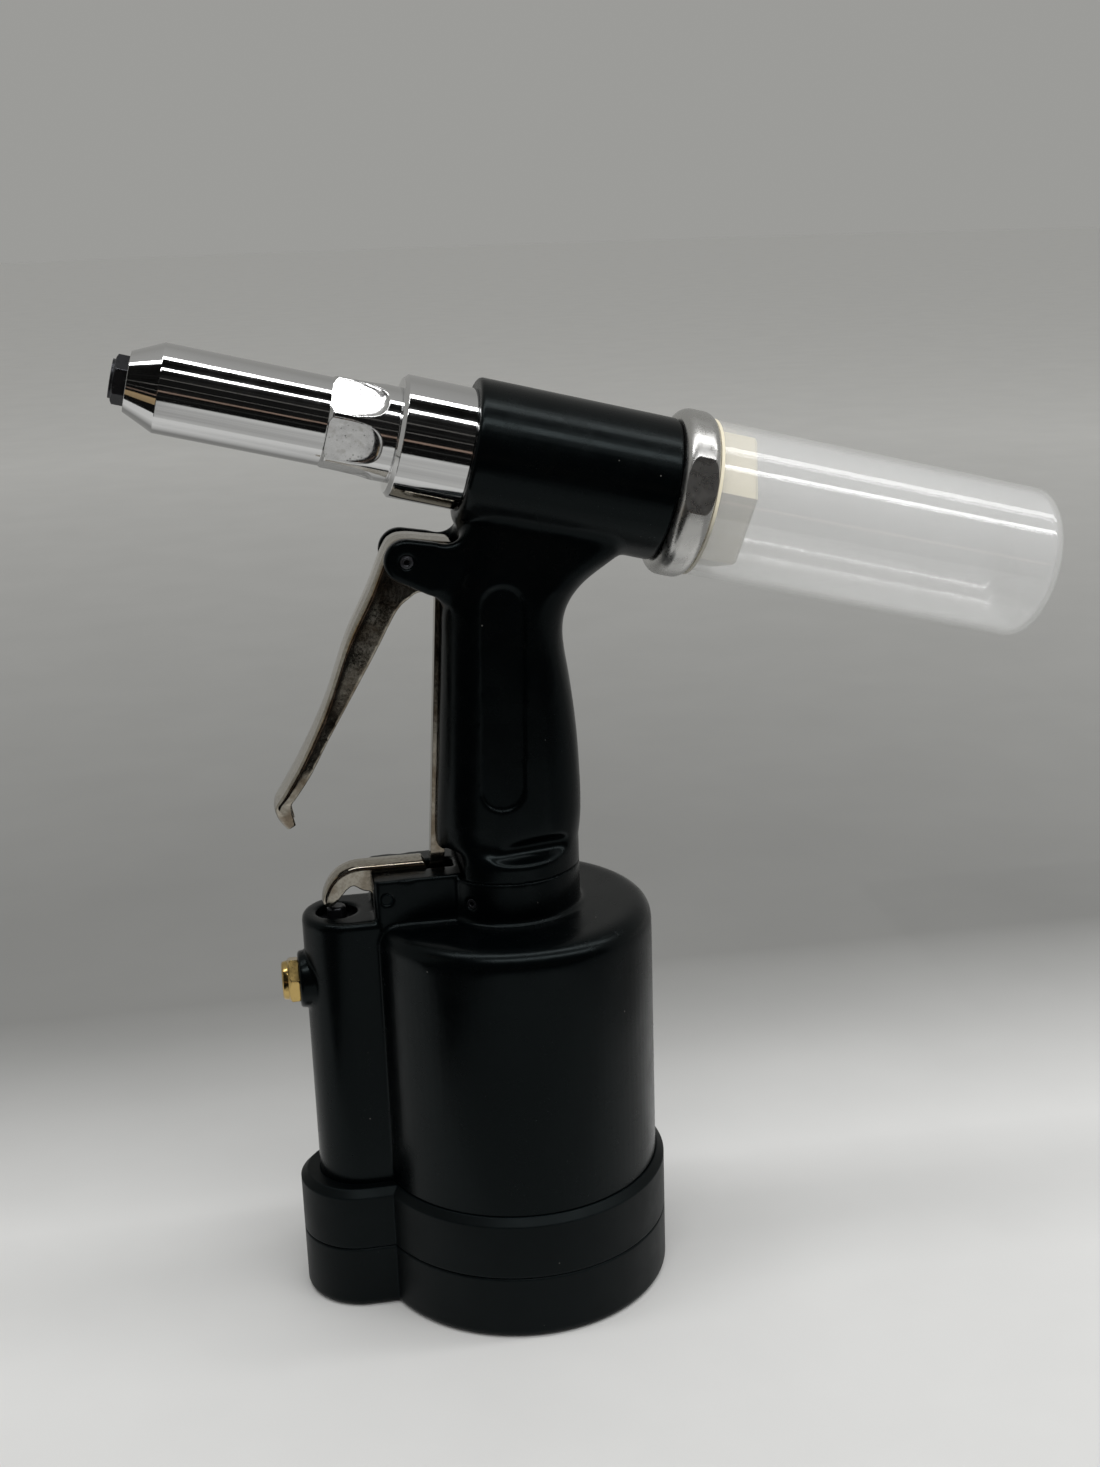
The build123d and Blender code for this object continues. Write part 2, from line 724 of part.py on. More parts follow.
base_screws = []
for number in range(base_screw_count):
    screw_turn = radians(base_screw_start + 360 / base_screw_count * number)
    screw_place = (base_screw_circle * cos(screw_turn), base_screw_circle * sin(screw_turn))
    screw_head = base_screw_seat - base_screw_head / 2
    with BuildPart() as base_screw:
        turn_ring(standing(*screw_place), base_screw_seat, base_screw_end, 0, base_screw_radius)
        turn_ring(standing(*screw_place), screw_head, base_screw_seat, 0, base_screw_head)
        with BuildSketch(Plane.XY.offset(screw_head)):
            with Locations(screw_place):
                RegularPolygon(base_screw_head / 2, 6)
        extrude(amount=base_screw_head / 4, mode=Mode.SUBTRACT)
    base_screws.append(base_screw)

with BuildPart() as cylinder_cap:
    turn_ring(upright, cap_bottom, cap_top, 0, cylinder_bore - fit_gap)
    cap_seal_top = cap_seal_bottom + seal_width
    turn_ring(upright, cap_seal_bottom, cap_seal_top, seal_floor, cylinder_bore, mode=Mode.SUBTRACT)
    with BuildSketch(Plane.XY.offset(cap_bottom)):
        with PolarLocations(base_screw_circle, base_screw_count, base_screw_start):
            Circle(base_screw_radius + fit_gap)
    extrude(amount=base_screw_grip + free_gap, mode=Mode.SUBTRACT)

with BuildPart() as cap_seal:
    turn_ring(
        upright, cap_seal_bottom + fit_gap, cap_seal_top - fit_gap,
        seal_floor + fit_gap, cylinder_bore - fit_gap,
    )

with BuildPart() as cap_snap_ring:
    turn_ring(upright, snap_bottom + fit_gap, cap_bottom, snap_inner, snap_groove - fit_gap)
    with BuildSketch(Plane.XY.offset(snap_bottom)):
        with Locations((cylinder_bore, 0)):
            Rectangle(2 * snap_ring_width, snap_ring_split)
    extrude(amount=snap_ring_thickness, mode=Mode.SUBTRACT)

with BuildPart() as piston_bumper:
    turn_ring(upright, cap_top, cap_top + bumper_thickness, bumper_bore, bumper_radius)

# Air piston, its ram and the gland in the neck

with BuildPart() as air_piston:
    turn_ring(upright, piston_rest, piston_top, ram_stub + fit_gap, cylinder_bore - free_gap)
    turn_ring(upright, piston_rest, nut_seat, 0, nut_recess, mode=Mode.SUBTRACT)
    piston_seal_top = piston_seal_bottom + seal_width
    turn_ring(upright, piston_seal_bottom, piston_seal_top, seal_floor, cylinder_bore, mode=Mode.SUBTRACT)

with BuildPart() as piston_seal:
    turn_ring(
        upright, piston_seal_bottom + fit_gap, piston_seal_top - fit_gap,
        seal_floor + fit_gap, cylinder_bore - run_gap,
    )

with BuildPart() as ram:
    turn_ring(upright, piston_top, ram_top, 0, ram_radius)
    chamfer(edges_at(ram, Axis.Z, ram_top), length=ram_edge)
    turn_ring(upright, nut_seat - nut_height, piston_top, 0, ram_stub)

with BuildPart() as ram_nut:
    hexagon(Plane.XY.offset(nut_seat - nut_height), nut_flats, nut_height)
    turn_ring(upright, nut_seat - nut_height, nut_seat, 0, ram_stub + fit_gap, mode=Mode.SUBTRACT)

with BuildPart() as ram_gland:
    turn_ring(upright, plate_under - gland_drop, gland_seat, ram_radius + run_gap, gland_radius)
    turn_ring(upright, gland_seat, gland_top, ram_radius + run_gap, spigot_radius)
    turn_ring(upright, gland_top - gland_seal, gland_top, 0, gland_seal_radius, mode=Mode.SUBTRACT)

with BuildPart() as ram_seal:
    turn_ring(upright, gland_top - gland_seal, gland_top, ram_radius + run_gap, gland_seal_radius - fit_gap)

# Valve in the column, air inlet and muffler

seal_heights = [bush_bottom + rise for rise in stem_seals_at]

with BuildPart() as valve_bush:
    turn_ring(valve_side, bush_bottom, bush_top, stem_radius + run_gap, valve_bore - fit_gap)
    for height in seal_heights:
        turn_ring(valve_side, height, height + stem_seal, stem_radius, stem_seal_radius, mode=Mode.SUBTRACT)

stem_seals = []
for height in seal_heights:
    with BuildPart() as seal:
        turn_ring(
            valve_side, height + fit_gap, height + stem_seal - fit_gap,
            stem_radius + run_gap, stem_seal_radius - fit_gap,
        )
    stem_seals.append(seal)

with BuildPart() as valve_stem:
    turn_ring(valve_side, lower_land_under - stem_tail, column_top + stem_rise, 0, stem_radius)
    fillet(edges_at(valve_stem, Axis.Z, column_top + stem_rise), radius=stem_edge)
    turn_ring(valve_side, upper_land_top - upper_land, upper_land_top, 0, valve_bore - run_gap)
    turn_ring(valve_side, lower_land_under, lower_land_top, 0, valve_bore - run_gap)

with BuildPart() as valve_spring:
    spring_inner = stem_radius + free_gap
    turn_ring(valve_side, valve_bottom, lower_land_under, spring_inner, spring_inner + valve_spring_wire)

with BuildPart() as air_inlet:
    hexagon(inlet_face.offset(boss_face), inlet_flats, inlet_hex)
    inlet_end = boss_face + inlet_hex
    turn_off_corners(inlet_side, inlet_end, inlet_flats, inlet_corner)
    shank_end = boss_face - inlet_shank
    shank = inlet_thread - fit_gap
    turn(
        inlet_side,
        (shank_end, 0), (shank_end, shank - inlet_taper * inlet_shank), (boss_face, shank), (boss_face, 0),
    )
    turn_ring(inlet_side, inlet_end - inlet_bore_depth, inlet_end, 0, inlet_bore, mode=Mode.SUBTRACT)
    turn_ring(inlet_side, shank_end, boss_face, 0, inlet_passage, mode=Mode.SUBTRACT)

with BuildPart() as exhaust_muffler:
    muffler_end = muffler_top - muffler_room
    turn_ring(muffler_side, cap_bottom, muffler_end, 0, muffler_radius - fit_gap)
    hollow_floor = cap_bottom + muffler_end_wall
    turn_ring(muffler_side, hollow_floor, muffler_end, 0, muffler_radius / 2, mode=Mode.SUBTRACT)

# Valve lever: a pressed channel whose front curls down to a foot on the valve stem

with BuildPart() as valve_lever:
    lever_rear = rod_foot[0] + rod_eye
    web_rear = rod_foot[0] - rod_eye
    foot_front = foot_x - foot_half
    foot_rear = foot_x + foot_half
    with BuildSketch(middle):
        with BuildLine():
            ridge = Line((web_rear, lever_crown), (lever_bend_x, lever_crown))
            curl = JernArc(ridge @ 1, (-1, 0), lever_bend, lever_bend_turn)
            foot = Polyline(curl @ 1, (foot_front, foot_bottom), (foot_rear, foot_bottom))
            arch_top = (foot_rear + lever_arch_half, foot_bottom + lever_arch)
            arch = ThreePointArc(foot @ 1, arch_top, (foot_rear + 2 * lever_arch_half, foot_bottom))
            Polyline(
                arch @ 1, (lever_rear, foot_bottom), (lever_rear, rod_foot[1] + rod_eye),
                (web_rear, lever_crown - 2 * lever_sheet), ridge @ 0,
            )
        make_face()
    extrude(amount=lever_half, both=True)
    bends = edges_at(valve_lever, Axis.Y, -lever_half, lever_half).group_by(Axis.Z)
    fillet(bends[-1] + bends[-2].filter_by(GeomType.CIRCLE), radius=lever_bend_round)
    with BuildSketch(middle):
        with BuildLine():
            ridge = Line((lever_rear, lever_crown - lever_sheet), (lever_bend_x, lever_crown - lever_sheet))
            curl = JernArc(ridge @ 1, (-1, 0), lever_bend - lever_sheet, lever_bend_turn)
            pad = foot_bottom + lever_sheet
            Polyline(
                curl @ 1, (foot_front + lever_sheet, pad), (foot_rear + lever_sheet, pad),
                (foot_rear + lever_sheet, foot_bottom), (lever_rear, foot_bottom), ridge @ 0,
            )
        make_face()
    extrude(amount=lever_half - lever_sheet, both=True, mode=Mode.SUBTRACT)
    bar_across(lever_pivot, lever_pin_radius + run_gap, lever_half, mode=Mode.SUBTRACT)
    bar_across(rod_foot, rod_pin_radius + fit_gap, lever_half, mode=Mode.SUBTRACT)

with BuildPart() as lever_pin:
    bar_across(lever_pivot, lever_pin_radius, ear_half - lever_pin_inset)

# Pull rod with an eye at each end, and its two pins

with BuildPart() as pull_rod:
    with BuildSketch(rod_side):
        with Locations((0, 0)):
            Rectangle(rod_length, rod_thickness, align=(Align.MIN, Align.CENTER))
        with Locations((0, -rod_thickness / 2)):
            Rectangle(rod_foot_height, rod_foot_thickness, align=(Align.MIN, Align.MIN))
        with Locations((0, 0), (rod_length, 0)):
            Circle(rod_eye)
        with Locations((0, 0), (rod_length, 0)):
            Circle(rod_pin_radius + rod_pin_play, mode=Mode.SUBTRACT)
    extrude(amount=rod_half, both=True)

with BuildPart() as rod_foot_pin:
    bar_across(rod_foot, rod_pin_radius, lever_half)

with BuildPart() as rod_top_pin:
    bar_across(rod_top, rod_pin_radius, trigger_half)

# Trigger: a pressed channel whose tip hooks back towards the handle

with BuildPart() as trigger:
    with BuildSketch(middle):
        with BuildLine():
            face = Spline(round_pin(trigger_crown, crown_front_turn), *from_pin(*trigger_front))
            toe = RadiusArc(face @ 1, from_pin(trigger_hook[0])[0], -toe_radius)
            hook = Polyline(toe @ 1, *from_pin(*trigger_hook[1:]))
            back = Spline(hook @ 1, *from_pin(*trigger_back))
            tail = Polyline(back @ 1, *from_pin(*trigger_tail), round_pin(trigger_crown, crown_back_turn))
            RadiusArc(tail @ 1, face @ 0, -trigger_crown)
        make_face()
    extrude(amount=trigger_half, both=True)
    rims = edges_at(trigger, Axis.Y, -trigger_half, trigger_half)
    front_rims = rims.filter_by(GeomType.BSPLINE).group_by(Axis.X)[0]
    fillet(front_rims + rims.filter_by(GeomType.CIRCLE), radius=trigger_edge)
    with BuildSketch(middle):
        with BuildLine():
            depth_x, depth_z = hollow_depth
            inner_front = [(x + depth_x, z + depth_z) for x, z in trigger_front[:-1]]
            inner_crown = trigger_crown - trigger_sheet
            face = Spline(round_pin(inner_crown, crown_front_turn), *from_pin(*inner_front, hollow_stop))
            top_rear = (slot_rear, trigger_tail[-1][1] - trigger_sheet)
            belly = Polyline(
                face @ 1, *from_pin((slot_rear, hollow_stop[1]), top_rear),
                round_pin(inner_crown, crown_back_turn),
            )
            RadiusArc(belly @ 1, face @ 0, -inner_crown)
        make_face()
    extrude(amount=trigger_half - trigger_sheet, both=True, mode=Mode.SUBTRACT)
    bar_across((pivot_x, pivot_z), trigger_pin_radius + run_gap, trigger_half, mode=Mode.SUBTRACT)
    bar_across(rod_top, rod_pin_radius + fit_gap, trigger_half, mode=Mode.SUBTRACT)

with BuildPart() as trigger_pin:
    bar_across((pivot_x, pivot_z), trigger_pin_radius, frame_ear_half)
    bar_across((pivot_x, pivot_z), trigger_pin_bore, frame_ear_half, mode=Mode.SUBTRACT)

# Head collar, frame head and nosepiece

with BuildPart() as head_collar:
    turn(
        barrel_side,
        (collar_rear, pull_rod_radius + run_gap), (collar_rear, barrel_bore - fit_gap),
        (barrel_front, barrel_bore - fit_gap), (barrel_front, collar_radius),
        (collar_front - collar_chamfer, collar_radius), (collar_front, collar_radius - collar_chamfer),
        (collar_front, head_spigot_radius + fit_gap), (gland_front, head_spigot_radius + fit_gap),
        (gland_front, pull_rod_radius + run_gap),
    )
    seal_rear = collar_rear + head_seal_set
    turn_ring(barrel_side, seal_rear, seal_rear + head_seal, 0, head_seal_radius, mode=Mode.SUBTRACT)

with BuildPart() as head_seal_ring:
    turn_ring(
        barrel_side, seal_rear + fit_gap, seal_rear + head_seal - fit_gap,
        pull_rod_radius + run_gap, head_seal_radius - fit_gap,
    )

with BuildPart() as frame_head:
    turn(
        barrel_side,
        (head_rear, head_bore), (head_rear, head_spigot_radius), (collar_front, head_spigot_radius),
        (collar_front, head_neck_radius), (head_neck_front, head_neck_radius),
        (head_tube_rear, head_tube_radius), (head_cone_rear, head_tube_radius),
        (head_front, head_front_radius), (head_front, nose_thread), (head_bore_front, nose_thread),
        (head_bore_front, head_bore),
    )
    flat_run = head_flat_length - head_flat_end
    for number in range(6):
        flat_turn = radians(head_flat_turn + 60 * number)
        flat_way = Vector(0, -cos(flat_turn), 0) - over_way * sin(flat_turn)
        flat_face = Plane(origin=Vector(barrel_origin) + flat_way * head_flat, x_dir=nose_way, z_dir=flat_way)
        with BuildSketch(flat_face):
            with Locations((head_tube_rear, 0)):
                Rectangle(flat_run, 2 * head_flat_end, align=(Align.MAX, Align.CENTER))
            with Locations((head_tube_rear - flat_run, 0)):
                Circle(head_flat_end)
            with Locations((head_tube_rear, 0)):
                Rectangle(
                    head_flat_end, 2 * head_flat_end, align=(Align.MIN, Align.CENTER), mode=Mode.SUBTRACT
                )
        extrude(amount=head_flat_end, mode=Mode.SUBTRACT)

with BuildPart() as nosepiece:
    hexagon(barrel_face.offset(head_front), nose_flats, nose_hex)
    turn_off_corners(barrel_side, head_front + nose_hex, nose_flats, nose_corner)
    nose_end = head_front + nose_hex + nose_collar
    turn_ring(barrel_side, head_front + nose_hex, nose_end, 0, nose_collar_radius)
    turn_ring(barrel_side, head_front - nose_shank, head_front, 0, nose_thread - fit_gap)
    turn_ring(barrel_side, head_front - nose_tail, head_front - nose_shank, 0, nose_tail_radius)
    turn_ring(barrel_side, head_front - nose_tail, nose_end, 0, nose_bore, mode=Mode.SUBTRACT)

# Pull piston, jaws and the tube that leads spent mandrels to the bottle

with BuildPart() as pull_piston:
    turn_ring(barrel_side, pull_rear, pull_face, 0, barrel_bore - free_gap)
    turn_ring(barrel_side, pull_face, pull_rod_front, 0, pull_rod_radius)
    turn_ring(barrel_side, pull_rod_front, stub_end, 0, stub_radius)
    turn_ring(barrel_side, pull_rear, stub_end, 0, mandrel_bore, mode=Mode.SUBTRACT)
    turn_ring(barrel_side, pull_rear, guide_front, 0, guide_radius + fit_gap, mode=Mode.SUBTRACT)
    pull_seal_rear = (pull_rear + pull_face - pull_seal_width) / 2
    pull_seal_front = pull_seal_rear + pull_seal_width
    pull_seal_floor = barrel_bore - seal_groove
    turn_ring(barrel_side, pull_seal_rear, pull_seal_front, pull_seal_floor, barrel_bore, mode=Mode.SUBTRACT)

with BuildPart() as pull_piston_seal:
    turn_ring(
        barrel_side, pull_seal_rear + fit_gap, pull_seal_front - fit_gap,
        pull_seal_floor + fit_gap, barrel_bore - run_gap,
    )

with BuildPart() as mandrel_guide:
    turn_ring(barrel_side, guide_end, guide_front, guide_radius - guide_wall, guide_radius)

with BuildPart() as return_spring:
    spring_outer = barrel_bore - 2 * free_gap
    turn_ring(barrel_side, cap_spigot_end, pull_rear, spring_outer - return_spring_wire, spring_outer)

with BuildPart() as lock_nut:
    hexagon(barrel_face.offset(lock_nut_rear), lock_nut_flats, lock_nut_length)
    turn_ring(barrel_side, lock_nut_rear, case_rear, 0, stub_radius + fit_gap, mode=Mode.SUBTRACT)

with BuildPart() as jaw_case:
    turn(
        barrel_side,
        (case_rear, stub_radius + fit_gap), (case_rear, jaw_case_radius), (case_front, jaw_case_radius),
        (case_front, jaw_mouth), (cone_front, jaw_mouth), (cone_rear, jaw_chamber), (stub_end, jaw_chamber),
        (stub_end, stub_radius + fit_gap),
    )

jaws = []
for number in range(jaw_count):
    jaw_span = 360 / jaw_count - jaw_split_turn
    jaw_turn = radians(360 / jaw_count * number)
    jaw_side = Plane(
        origin=barrel_origin, x_dir=nose_way, z_dir=Vector(0, cos(jaw_turn), 0) + over_way * sin(jaw_turn)
    )
    with BuildPart() as jaw:
        section = outline(
            jaw_side,
            (jaw_rear, jaw_bore), (jaw_rear, jaw_rear_radius),
            (jaw_front, jaw_rear_radius - jaw_taper * jaw_length), (jaw_front, jaw_bore),
        )
        revolve(section, axis=Axis(jaw_side.origin, jaw_side.x_dir), revolution_arc=jaw_span)
    jaws.append(jaw)

with BuildPart() as jaw_pusher:
    turn_ring(barrel_side, pusher_rear, pusher_front, pusher_bore, jaw_rear_radius)

with BuildPart() as jaw_spring:
    spring_outer = jaw_chamber - 2 * free_gap
    turn_ring(barrel_side, stub_end, pusher_rear, spring_outer - jaw_spring_wire, spring_outer)

# Rear cap, bottle adapter and mandrel bottle

with BuildPart() as rear_cap:
    with BuildSketch(barrel_side):
        with BuildLine():
            front_round = TangentArc(
                (barrel_rear - cap_front_round, cap_crest), (barrel_rear, cap_front_radius), tangent=(1, 0)
            )
            spigot = barrel_bore - fit_gap
            hole = guide_radius + run_gap
            thread = adapter_thread + fit_gap
            inside = Polyline(
                front_round @ 1, (barrel_rear, spigot), (cap_spigot_end, spigot), (cap_spigot_end, hole),
                (cap_rear + cap_socket, hole), (cap_rear + cap_socket, thread), (cap_rear, thread),
                (cap_rear, cap_rear_radius),
            )
            rear_round = TangentArc((cap_rear + cap_rear_round, cap_crest), inside @ 1, tangent=(-1, 0))
            Line(rear_round @ 0, front_round @ 0)
        make_face()
    revolve(axis=Axis(barrel_side.origin, barrel_side.x_dir))
    for side in (-1, 1):
        flat_turn = radians(cap_flat_turn)
        flat_way = (Vector(0, -cos(flat_turn), 0) + over_way * sin(flat_turn)) * side
        flat_face = Plane(origin=Vector(barrel_origin) + flat_way * cap_flat, x_dir=nose_way, z_dir=flat_way)
        with BuildSketch(flat_face):
            with Locations((cap_rear, 0)):
                Rectangle(cap_length, 2 * cap_crest, align=(Align.MIN, Align.CENTER))
        extrude(amount=cap_flat_depth, mode=Mode.SUBTRACT)

with BuildPart() as bottle_adapter:
    hexagon(barrel_face.offset(adapter_end), adapter_flats, adapter_length, adapter_turn)
    chamfer(bottle_adapter.faces().sort_by(barrel_side.location.x_axis)[0].edges(), length=adapter_edge)
    turn_ring(barrel_side, bottle_mouth, cap_rear, 0, adapter_radius)
    turn_ring(barrel_side, cap_rear, cap_rear + cap_socket - seat_gap, 0, adapter_thread)
    turn_ring(barrel_side, adapter_end, cap_rear + cap_socket, 0, guide_radius + free_gap, mode=Mode.SUBTRACT)

with BuildPart() as mandrel_bottle:
    with BuildSketch(barrel_side):
        with BuildLine():
            outer = Line((bottle_mouth, bottle_radius), (bottle_end + bottle_edge, bottle_radius))
            corner = JernArc(outer @ 1, (-1, 0), bottle_edge, 90)
            end = Polyline(corner @ 1, (bottle_end, 0), (bottle_end + bottle_wall, 0),
                           (bottle_end + bottle_wall, bottle_radius - bottle_edge))
            inner = JernArc(end @ 1, (0, 1), bottle_edge - bottle_wall, -90)
            Polyline(inner @ 1, (bottle_mouth, bottle_bore), outer @ 0)
        make_face()
    revolve(axis=Axis(barrel_side.origin, barrel_side.x_dir))

# One file for each piece

nodes = {
    "main_frame": main_frame,
    "cylinder_body": cylinder_body,
    "neck_set_screw": neck_set_screw,
    "base_ring": base_ring,
    "base_cover": base_cover,
    "cylinder_cap": cylinder_cap,
    "cap_seal": cap_seal,
    "cap_snap_ring": cap_snap_ring,
    "piston_bumper": piston_bumper,
    "air_piston": air_piston,
    "piston_seal": piston_seal,
    "ram": ram,
    "ram_nut": ram_nut,
    "ram_gland": ram_gland,
    "ram_seal": ram_seal,
    "valve_bush": valve_bush,
    "valve_stem": valve_stem,
    "valve_spring": valve_spring,
    "air_inlet": air_inlet,
    "exhaust_muffler": exhaust_muffler,
    "valve_lever": valve_lever,
    "lever_pin": lever_pin,
    "pull_rod": pull_rod,
    "rod_foot_pin": rod_foot_pin,
    "rod_top_pin": rod_top_pin,
    "trigger": trigger,
    "trigger_pin": trigger_pin,
    "head_collar": head_collar,
    "head_seal": head_seal_ring,
    "frame_head": frame_head,
    "nosepiece": nosepiece,
    "pull_piston": pull_piston,
    "pull_piston_seal": pull_piston_seal,
    "mandrel_guide": mandrel_guide,
    "return_spring": return_spring,
    "lock_nut": lock_nut,
    "jaw_case": jaw_case,
    "jaw_pusher": jaw_pusher,
    "jaw_spring": jaw_spring,
    "rear_cap": rear_cap,
    "bottle_adapter": bottle_adapter,
    "mandrel_bottle": mandrel_bottle,
}
for name, repeats in (("base_screw", base_screws), ("stem_seal", stem_seals), ("jaw", jaws)):
    for number, piece in enumerate(repeats, start=1):
        nodes[f"{name}_{number}"] = piece

os.makedirs("parts", exist_ok=True)
for name, piece in nodes.items():
    piece.part.label = name
    export_step(piece.part, f"parts/{name}.step")

pull_area = barrel_bore**2 - pull_rod_radius**2
print("pull stroke", air_stroke * ram_radius**2 / pull_area)
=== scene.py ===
import json
from math import cos, pi, radians, sin

import bpy
from mathutils import Matrix, Vector

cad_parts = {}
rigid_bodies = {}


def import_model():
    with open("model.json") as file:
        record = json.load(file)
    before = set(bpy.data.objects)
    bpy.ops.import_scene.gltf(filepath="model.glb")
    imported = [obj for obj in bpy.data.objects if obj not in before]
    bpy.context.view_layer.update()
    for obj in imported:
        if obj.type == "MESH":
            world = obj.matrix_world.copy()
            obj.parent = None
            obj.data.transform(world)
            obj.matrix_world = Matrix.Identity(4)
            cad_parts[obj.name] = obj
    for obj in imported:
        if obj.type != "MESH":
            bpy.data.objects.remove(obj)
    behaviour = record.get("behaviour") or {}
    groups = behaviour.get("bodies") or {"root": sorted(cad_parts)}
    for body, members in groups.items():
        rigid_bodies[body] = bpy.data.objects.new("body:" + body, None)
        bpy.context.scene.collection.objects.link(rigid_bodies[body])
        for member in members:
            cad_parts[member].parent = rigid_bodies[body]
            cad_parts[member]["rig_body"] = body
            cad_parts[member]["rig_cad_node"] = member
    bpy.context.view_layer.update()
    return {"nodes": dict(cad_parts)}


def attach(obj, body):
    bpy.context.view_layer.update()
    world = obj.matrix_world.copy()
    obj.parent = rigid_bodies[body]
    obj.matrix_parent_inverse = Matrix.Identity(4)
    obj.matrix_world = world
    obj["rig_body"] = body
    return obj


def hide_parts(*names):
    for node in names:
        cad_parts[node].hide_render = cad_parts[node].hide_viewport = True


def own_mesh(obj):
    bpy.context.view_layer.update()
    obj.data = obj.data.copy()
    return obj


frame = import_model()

bl_info = {
    "name": "Pneumatic Riveter",
    "version": (1, 0, 0),
    "blender": (4, 5, 0),
    "location": "3D View > Sidebar > Riveter",
    "description": "The riveter's castings, head, linkage and bottle with their finishes, and its stage",
    "category": "Object",
}

MM = 0.001

# The barrel's axis crosses the cylinder's at this height and rises towards the nose
BARREL_HEIGHT = 269 * MM
BARREL_TILT = radians(14.4)
BARREL_TURN = (0.0, BARREL_TILT - pi / 2, 0.0)
BARREL_CENTRE = Vector((0.0, 0.0, BARREL_HEIGHT))
BARREL_AXIS = Vector((-cos(BARREL_TILT), 0.0, sin(BARREL_TILT)))
BARREL_UP = Vector((sin(BARREL_TILT), 0.0, cos(BARREL_TILT)))

# A quarter turn, which lays an upright axis across the tool and stands a lying card up
QUARTER_TURN = (pi / 2, 0.0, 0.0)

# From here to the stage, lengths are in millimetres and turns in radians

# Points closer than this are merged in a turned piece and in a copy of a packed one
TURNED_MERGE = 0.001
PACKED_MERGE = 0.002

# How far each pass of smoothing goes
SMOOTHING = 0.5

# Castings: the egg-shaped cutters of the finger scoops, and the block that lowers the lever's ears
SCOOP_HALVES = (30.0, 6.5, 3.8)
SCOOP_PLACE = (4.5, 22.7, 151.3)
SCOOP_LEAN = -0.02
SCOOP_SWING = 0.20
EAR_BLOCK = 40.0
EAR_BLOCK_PLACE = (-31.35, 0.6, 162.65)
EAR_BLOCK_TURN = (-0.0296, -0.0099, 0.0)

# Where the cylinder's shoulder is run smooth: above its foot, outside a ring and behind the ears
SHOULDER_FOOT = 116.0
SHOULDER_RING = 33.0
SHOULDER_FRONT = -36.0
SHOULDER_FADE = 4.0
SHOULDER_FRONT_FADE = 8.0

# Where the frame is run smooth: under the barrel, less in its middle, at the chin under the trigger's ears,
# and round the scoops, more at their front
UNDER_ALONG = (-51.0, 13.0)
UNDER_ABOVE = (-34.0, -9.0)
UNDER_MIDDLE = 0.3
UNDER_SIDE = 12.0
CHIN_PLACE = (-15.0, 12.0, 226.0)
CHIN_REACH = 8.0
JUNCTION_FADE = 4.0
SCOOP_BAND = (146.0, 158.0)
SCOOP_INNER = 8.0
SCOOP_SHARE = 0.32
SCOOP_FRONT = -8.0
SCOOP_FRONT_FADE = 2.0
SCOOP_FRONT_SHARE = 0.5

# Spanner flats round the head and the inlet
FLATS = 6

# Pins' places in the tool's middle plane, and the holes for them
TRIGGER_PIN = (-27.7, 240.8)
TRIGGER_BORE = 2.1
LEVER_PIN = (-39.4, 137.0)
LEVER_BORE = 1.85
ROD_TOP = (-16.8, 238.0)
ROD_FOOT = (-23.8, 134.6)
ROD_BORE = 1.52
DRILL_LENGTH = 40.0

# Pressed channels: the trigger from its tail over its pin and down its face to the tip, and the lever from
# its rear end to its foot. Each station has the face's X and Z, the rim's X and Z, half the width and the bend
TRIGGER_STATIONS = (
    (-13.6, 245.0, -13.2, 236.0, 8.2, 2.2), (-20.2, 246.0, -17.0, 232.2, 8.2, 2.2),
    (-26.84, 246.94, -22.4, 231.0, 8.2, 2.4), (-30.8, 246.2, -24.9, 230.6, 8.2, 2.4),
    (-33.6, 243.0, -27.3, 229.0, 8.1, 2.4), (-39.0, 231.0, -31.2, 225.2, 7.8, 2.4),
    (-46.2, 217.0, -38.2, 212.8, 7.2, 2.4), (-52.7, 200.1, -47.2, 197.7, 6.8, 2.2),
    (-57.7, 189.3, -53.6, 187.2, 7.3, 1.9), (-63.1, 179.2, -59.4, 177.2, 7.9, 1.7),
    (-68.3, 170.9, -64.3, 170.2, 7.8, 1.8), (-70.9, 166.9, -65.9, 167.8, 7.0, 2.2),
    (-70.7, 164.0, -66.0, 165.1, 6.2, 2.4), (-69.4, 161.2, -65.5, 162.6, 5.2, 2.2),
    (-67.5, 158.7, -65.0, 160.2, 4.0, 1.5),
)
LEVER_STATIONS = (
    (-27.1, 145.4, -20.5, 132.4, 4.1, 1.7), (-29.0, 145.4, -27.0, 132.0, 4.1, 1.7),
    (-35.0, 145.4, -36.0, 132.0, 4.1, 1.7), (-41.0, 145.4, -42.6, 132.8, 4.1, 1.7),
    (-43.8, 145.4, -43.6, 136.2, 4.1, 1.7), (-46.4, 145.4, -46.2, 137.2, 4.1, 1.7),
    (-49.5, 145.0, -48.8, 138.8, 4.1, 1.7), (-53.2, 143.4, -50.7, 138.0, 4.1, 1.7),
    (-56.0, 140.7, -52.6, 136.0, 4.1, 1.7), (-57.8, 137.5, -54.4, 133.8, 4.0, 1.7),
    (-58.6, 134.8, -56.2, 132.5, 3.7, 1.7), (-58.6, 133.4, -57.7, 132.4, 3.2, 1.7),
)

# Their sheet's thickness, the face's crown, the bend's steps in degrees, and the most of the depth and of
# half the width that a bend takes
SHEET = 1.2
CROWN = 0.2
BEND_STEP = 15
BEND_OF_DEPTH = 0.7
BEND_OF_WIDTH = 0.9

# Tumbling, which rounds the pressed pieces' rims
TUMBLE_GRAIN = 0.27
TUMBLE_PASSES = 6
TUMBLE_SKIN = 150000

